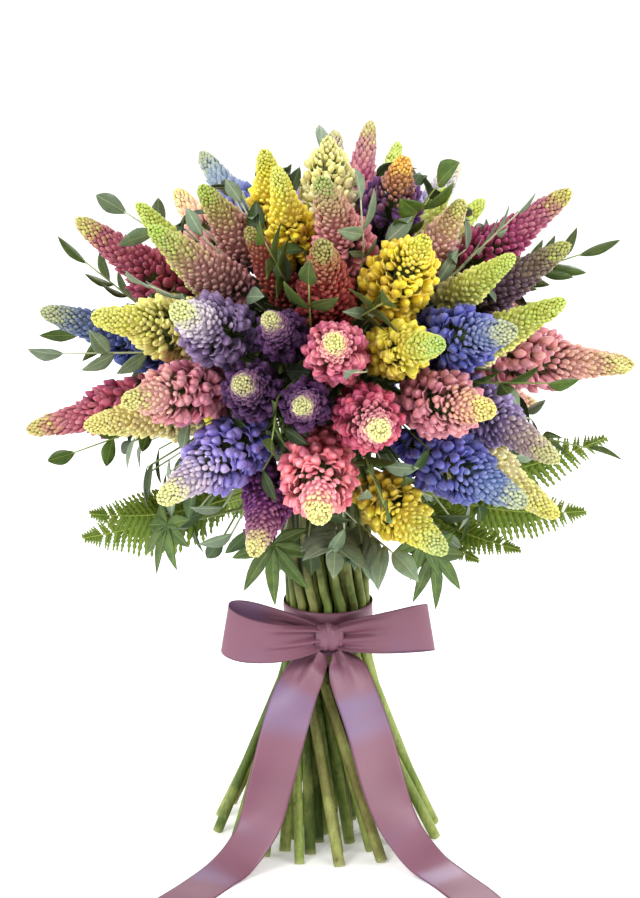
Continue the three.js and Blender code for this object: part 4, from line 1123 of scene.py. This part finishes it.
def greenery():
    sage = foliage("leaf_sage", "7f8f74", "b7c2a0", "6d8068", 0.5, 0.12)
    dark = foliage("leaf_dark", "40542c", "6f8250", "324526", 0.42)
    bright = foliage("leaf_bright", "56692f", "869656", "42582a", 0.4)
    fern = foliage("fern_green", "76882e", "98a852", "5f7826", 0.5)
    for k, (host, heading, rise, reach, count, length, half) in enumerate(SPRIGS):
        heap = Heap()
        root, tip = stem_way(host) * (STEM_REACH + 4), place((heading, rise, reach))
        lay_sprig(heap, [root, tip], count, length, half, (OLIVE_LEAF, LANCE_LEAF)[k % 2])
        heap.piece("sprig_" + host, (sage, bright, bright)[k % 3], "leaf_green", "lupin_" + host)
    for name, (heading, fronds) in FERNS.items():
        heap = Heap()
        end, way = collar(heading, [middle for middle, _, _ in fronds])
        for middle, tip, half in fronds:
            lay_frond(heap, end + way * 2 * SEAM, middle, tip, half)
        heap.piece("frond_" + name, fern, "fern_green", name)
    for name, (heading, stems) in GREENS.items():
        heap = Heap()
        end, way = collar(heading, [stem[0] for stem in stems])
        for middle, tip, count, length, half in stems:
            route = [end + way * 2 * SEAM, place(middle), place(tip)]
            lay_sprig(heap, route, count, length, half, OLIVE_LEAF, thick=1.3, shown=direction(tip[0], 0))
        heap.piece("spray_" + name, sage, "leaf_green", name)
    for name, (heading, palms) in PALMS.items():
        heap = Heap()
        end, way = collar(heading, [middle for middle, *_ in palms])
        for row in palms:
            lay_palm(heap, end + way * 2 * SEAM, *row)
        heap.piece("palms_" + name, bright, "leaf_green", name)
    fillers = [Heap(), Heap()]
    lay_fillers(fillers)
    lay_heart(fillers[0])
    for heap, name, material in zip(fillers, ("dark", "sage"), (dark, sage)):
        heap.piece("inner_leaves_" + name, material, "leaf_green", "stems")


# ------------------------------------------------------------------ stems, spiralled through the tie
SLOTS = [1, 6, 12, 18, 24]    # stems in each ring of the tie, from the middle out
SLOT_PITCH = 7.6
TIE_STEM, FREE_STEM, UPPER_STEM = 3.7, 4.4, 3.0     # radius in the tie, at the foot and inside the head
FLOOR_SPREAD = 3.0            # spread of the feet, in times the spread at the tie
FOOT_DRIFT = 6                # how far a foot strays, in mm out and in degrees round
SPIRAL_BELOW, SPIRAL_ABOVE = 50, -30                # turn of a stem below the tie and above it, degrees
SLANT = 0.013                 # how much a stem leans round the bundle above the tie, per mm out
REACH_ABOVE = 0.26            # how straight a stem leaves the tie and enters the head
TIE_MARGIN = 2                # a stem keeps its place in the tie this far past the band
FIRST_DRAW = 20817            # the start of the run of draws that sets the feet, as in the solids


def level(heading, radius, z):
    return direction(heading, 0) * radius + np.array([0, 0, z])


def stems():
    """Upright stems take the middle of the tie, level ones the next rings, and the greenery the outside."""
    ends = []
    for name, *_ in LUPINS:
        way = stem_way(name)
        ends.append((-way[2], way, way * STEM_REACH + HEAD))
    for heading, parts in [*FERNS.values(), *GREENS.values(), *PALMS.values()]:
        end, way = collar(heading, [part[0] for part in parts])
        ends.append((2, way, end + HEAD))
    ends.sort(key=lambda row: row[0])
    draws = FIRST_DRAW

    def draw():
        nonlocal draws
        draws = (draws * 1664525 + 1013904223) % 4294967296
        return draws / 4294967296

    heap = Heap()
    taken = 0
    for ring, count in enumerate(SLOTS):
        group = ends[taken:taken + count]
        taken += count
        wanted = []
        for _, way, end in group:
            out = end - HEAD
            wanted.append(((math.degrees(math.atan2(out[0], -out[1])) - SPIRAL_ABOVE) % 360, way, end))
        wanted.sort(key=lambda row: row[0])
        for k, (_, way, end) in enumerate(wanted):
            heading, radius = k * 360 / len(group), ring * SLOT_PITCH
            spread = radius * FLOOR_SPREAD + (draw() - 0.5) * FOOT_DRIFT
            foot = level(heading + SPIRAL_BELOW + (draw() - 0.5) * FOOT_DRIFT, max(0, spread), 0)
            low, high = (level(heading, radius, z) for z in (TIE_LOW - TIE_MARGIN, TIE_HIGH + TIE_MARGIN))
            span = np.linalg.norm(high - end) * REACH_ABOVE
            leave = np.array([0, 0, 1.0]) + level(heading - 90, radius * SLANT, 0)
            above = bezier([high, high + leave * span, end - way * span, end + way * 1.5], 12)
            turn = np.array([0, 0, 18.0])
            below = np.concatenate([foot + (low - foot) * np.linspace(0, 0.86, 8)[:, None],
                                    bezier([foot + (low - foot) * 0.9, low, low + turn], 4)])
            route = np.concatenate([below, [high - np.array([0, 0, 6.0])], above])
            size = np.interp(route[:, 2], [0, TIE_LOW, TIE_HIGH, TIE_HIGH + 60],
                             [FREE_STEM, TIE_STEM, TIE_STEM, UPPER_STEM])
            size *= RANDOM.uniform(0.88, 1.08)
            lay(heap, ROD, bent(ROD, route, size, carried_frames(route, (-1, 0, 0))), ROD.points[:, 2],
                RANDOM.uniform(0, 1))
    heap.piece("cut_stems", green_stems(), "stem_green", "stems")


# ------------------------------------------------------------------ satin ribbon
RIBBON_WIDTH = 38.0
CLOTH_THICKNESS = 0.45
BAND_RADIUS = 36.0
TIE_MIDDLE = (TIE_LOW + TIE_HIGH) / 2
KNOT_SIZE = (13.0, 7.0, 12.0)           # half its width, depth and height
KNOT_RADIUS = 9.6                       # the mean radius of a turn of ribbon round it
KNOT_RIBBON = 24.0                      # the width to which that turn is drawn in
KNOT = np.array([0, -(36.95 + KNOT_SIZE[1]), TIE_MIDDLE])
LOOP_REACH, LOOP_DEPTH, LOOP_LIFT = 82.0, 15.0, 8.0
LOOP_BEND = 16                          # ribbon taken up round the loop's end
GATHERED = 6                            # half width of the ribbon where the knot grips it
TAIL_OPENS = 0.22                       # share of a tail along which it opens from the knot
TAIL_STATIONS = 81

# The tails' middle lines, from under the knot down to the surface and forward along it
TAILS = {
    "ribbon_tail_left": [(-6, -44, 162.1), (-10, -46, 156), (-18, -51, 148), (-27, -58, 130), (-35, -68, 103),
                         (-46, -82, 61), (-56, -92, 31), (-74, -104, 7), (-92, -126, 0.6), (-109, -156, 0.6),
                         (-134, -196, 0.6), (-161, -236, 0.6), (-190, -274, 0.6)],
    "ribbon_tail_right": [(6, -44, 162.1), (10, -46, 156), (16, -51, 148), (25, -59, 125), (33, -68, 101),
                          (45, -82, 59), (57, -91, 33), (76, -101, 9), (94, -118, 0.6), (110, -150, 0.6),
                          (127, -194, 0.6), (146, -238, 0.6), (169, -283, 0.6)],
}


def cloth(name, length_steps, width_steps, shape, length, material, node, held, rests_on, closed=False,
          width=RIBBON_WIDTH):
    """A strip of ribbon: a flat grid laid out by shape(u, v), with u from 0 to 1 along it and v from -1 to 1
    across it, given its thickness, with its cloth UV measured out to the length it was cut to."""
    deselect()
    bpy.ops.mesh.primitive_grid_add(x_subdivisions=length_steps, y_subdivisions=width_steps, size=2)
    strip = bpy.context.object
    strip.name = strip.data.name = name
    flat = np.array([v.co for v in strip.data.vertices])
    u, v = (flat[:, 0] + 1) / 2, flat[:, 1]
    strip.data.vertices.foreach_set("co", to_frame(shape(u, v)).astype(np.float32).ravel())
    laid = strip.data.uv_layers.active or strip.data.uv_layers.new(name="cloth")
    laid.name = "cloth"
    for loop in strip.data.loops:
        laid.data[loop.index].uv = (u[loop.vertex_index] * length * MM, v[loop.vertex_index] * width / 2 * MM)
    if closed:
        edit(strip, lambda co: True)
        bpy.ops.mesh.remove_doubles(threshold=0.00005)
        bpy.ops.object.mode_set(mode="OBJECT")
    solidified(strip, CLOTH_THICKNESS * MM)
    edit(strip, lambda co: True)
    bpy.ops.mesh.normals_make_consistent(inside=False)
    bpy.ops.object.mode_set(mode="OBJECT")
    strip.data.shade_smooth()
    dress(strip, material, "satin", node)
    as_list(rests_on)


def band_shape(u, v):
    """One turn round the tie, with soft creases that run a little downhill."""
    a = 2 * np.pi * u
    tall = (TIE_HIGH - TIE_LOW) / 2
    radius = BAND_RADIUS + 0.35 * np.sin(3 * a + 5 * v) * (1 - v ** 2) + 0.25 * np.sin(7 * a - 9 * v)
    high = TIE_MIDDLE + tall * v - 1.2 * np.cos(a) * v * (v > 0)
    return np.stack([radius * np.sin(a), -radius * np.cos(a), high], axis=1)


def loop_shape(sign):
    """A bow loop: out from the knot along the front, round its end, and back behind, gathered to
    folds where the knot grips it."""
    def shape(u, v):
        t = 2 * np.pi * u
        out = (1 - np.cos(t)) / 2
        depth = LOOP_DEPTH * np.sin(t) * (0.25 + 0.75 * out)
        grip = np.clip(1 - out * 1.55, 0, 1) ** 0.9
        half = GATHERED + (RIBBON_WIDTH / 2 - GATHERED) * np.sqrt(out) * (1.04 - 0.04 * out)
        x = sign * (3 + (LOOP_REACH - 3 - 3.2 * v) * out)
        # The loop leans: its back layer stands higher on the left and lower on the right
        lean = -sign * 6.5 * np.sin(t) * out ** 0.6
        folds = grip * (3.4 * np.sin(v * 7.5 + 0.6 * sign) + 1.3 * np.sin(v * 14 + u * 5))
        ripple = 1.4 * np.sin(2.6 * v + 5.0 * out) * (1 - grip) * (1 - out) * 2
        z = LOOP_LIFT * out ** 2 + half * v * (1 + 0.05 * np.sin(t)) - lean
        return KNOT + np.stack([x, -depth + folds + ripple, z], axis=1)
    return shape


def knot_shape(u, v):
    """A turn of ribbon wrapped over the knot's core, pinched into ridges."""
    a = 2 * np.pi * u
    wide, deep, tall = KNOT_SIZE
    ridges = 1 + 0.07 * np.sin(v * 9 + 1.5 * np.sin(a)) + 0.04 * np.sin(v * 17 + a)
    bulge = np.sqrt(np.maximum(1 - (0.8 * v) ** 2, 0.1)) * ridges
    slanted = v * wide * 0.86 + 1.5 * np.cos(a)
    forward, high = -(deep - 0.6) * np.cos(a) * bulge, (tall - 1) * np.sin(a) * bulge
    return KNOT + np.stack([slanted, forward, high], axis=1)


def tail_shape(points):
    """A tail that opens from the knot, faces the front as it hangs, and turns flat where it lies."""
    row = smooth_row(points, TAIL_STATIONS)
    ways = unit(np.gradient(row, axis=0))
    steep = unit(np.cross(np.array([0, -0.35, 1.0]), ways))
    lying = unit(np.stack([-ways[:, 1], ways[:, 0], np.zeros(len(ways))], axis=1))
    blend = np.pad(np.where(row[:, 2] < 5, 1.0, 0.15), 4, mode="edge")
    blend = np.convolve(blend, np.ones(9) / 9, mode="valid")[:, None]
    over = unit(steep * (1 - blend) + lying * blend)
    over *= np.where(over[:, :1] < 0, -1, 1)
    normal = np.cross(ways, over)
    normal *= np.where(normal[:, 1:2] > 0, -1, 1)
    station = np.linspace(0, 1, TAIL_STATIONS)

    def shape(u, v):
        def here(rows):
            return np.stack([np.interp(u, station, rows[:, k]) for k in range(3)], axis=1)
        opened = np.clip(u / TAIL_OPENS, 0, 1)
        half = GATHERED + (RIBBON_WIDTH / 2 - GATHERED) * np.sin(opened * np.pi / 2)
        fold = (1 - opened) ** 0.8
        crimp = fold * (3.2 * np.sin(v * 6) + 1.6 * np.sin(v * 12))
        crimp += np.clip(TAIL_OPENS - u, 0, 1) * 9 * (1 - v ** 2)
        hang = np.clip((0.6 - u) / 0.2, 0, 1)
        sway = hang * (1 - fold) * (1.6 * np.sin(u * 16 + v * 1.2) * v)
        return here(row) + here(over) * (half * v)[:, None] + here(normal) * (crimp + sway)[:, None]
    return shape


def row_length(points):
    """The length to which a tail was cut, along its middle line."""
    return float(np.linalg.norm(np.diff(smooth_row(points, 200), axis=0), axis=1).sum())


def ribbon():
    material = satin()
    cloth("tie_band", 96, 10, band_shape, 2 * math.pi * BAND_RADIUS, material, "ribbon_band",
          held="stretched", rests_on=["cut_stems"], closed=True)
    for side, sign in (("left", -1), ("right", 1)):
        cloth("bow_loop_" + side, 72, 20, loop_shape(sign), 2 * LOOP_REACH + LOOP_BEND, material,
              "ribbon_bow", held="folded", rests_on=["tie_band"])
    cloth("bow_knot", 40, 22, knot_shape, 2 * math.pi * KNOT_RADIUS, material, "ribbon_bow",
          held="folded", rests_on=["tie_band"], closed=True, width=KNOT_RIBBON)
    for name, points in TAILS.items():
        cloth(name.replace("ribbon_tail", "long_tail"), 96, 16, tail_shape(points), row_length(points),
              material, name, held="hung", rests_on=["bow_knot"])


# ------------------------------------------------------------------ floor, light and camera
# Soft lamps, in metres: name, place, size across, power, and the point at which it looks
LAMPS = [
    ("key", (-1.5, -1.9, 2.2), 1.3, 35, (0, 0, 0.3)),
    ("fill", (1.9, -1.6, 1.3), 1.6, 18, (0, 0, 0.3)),
    ("back", (0.5, 1.9, 2.0), 1.2, 24, (0, 0, 0.35)),
    ("left_rim", (-2.2, -0.7, 0.7), 0.7, 9, (0, 0, 0.2)),
    ("right_rim", (2.2, -0.5, 0.7), 0.7, 9, (0, 0, 0.2)),
]
FLOOR_SIZE = 60               # metres, so that its edge never shows
SKY_STRENGTH = 0.85

# The camera stands in front, in mm from the bouquet's axis, and looks down at it a little
CAMERA_PLACE = (-6.4, -1851.3, 745.2)
CAMERA_TARGET = (-6.4, 0, 317.8)
LENS, SENSOR = 95.21, 36


def aimed(name, data, stand, target):
    """Puts a lamp or a camera where it stands, looking at its target."""
    obj = bpy.data.objects.new(name, data)
    obj.location = stand
    obj.rotation_euler = (Vector(target) - Vector(stand)).to_track_quat("-Z", "Y").to_euler()
    bpy.context.scene.collection.objects.link(obj)
    return obj


def camera():
    data = bpy.data.cameras.new("camera")
    data.lens = LENS
    data.sensor_width = SENSOR
    bpy.context.scene.camera = aimed("camera", data, to_frame(CAMERA_PLACE), to_frame(CAMERA_TARGET))


def studio():
    deselect()
    bpy.ops.mesh.primitive_plane_add(size=FLOOR_SIZE)
    floor = bpy.context.object
    floor.name = "floor"
    floor.data.materials.append(paper_floor())

    scene = bpy.context.scene
    scene.world = bpy.data.worlds.new("room")
    scene.world.use_nodes = True
    sky = scene.world.node_tree.nodes["Background"]
    sky.inputs["Color"].default_value = (1, 1, 1, 1)
    sky.inputs["Strength"].default_value = SKY_STRENGTH
    for name, stand, size, power, target in LAMPS:
        light = bpy.data.lights.new(name, "AREA")
        light.shape = "DISK"
        light.size = size
        light.energy = power
        aimed(name, light, stand, target)
    scene.view_settings.view_transform = "Standard"
    scene.view_settings.look = "Medium High Contrast"


camera()
flowers()
greenery()
stems()
ribbon()
studio()
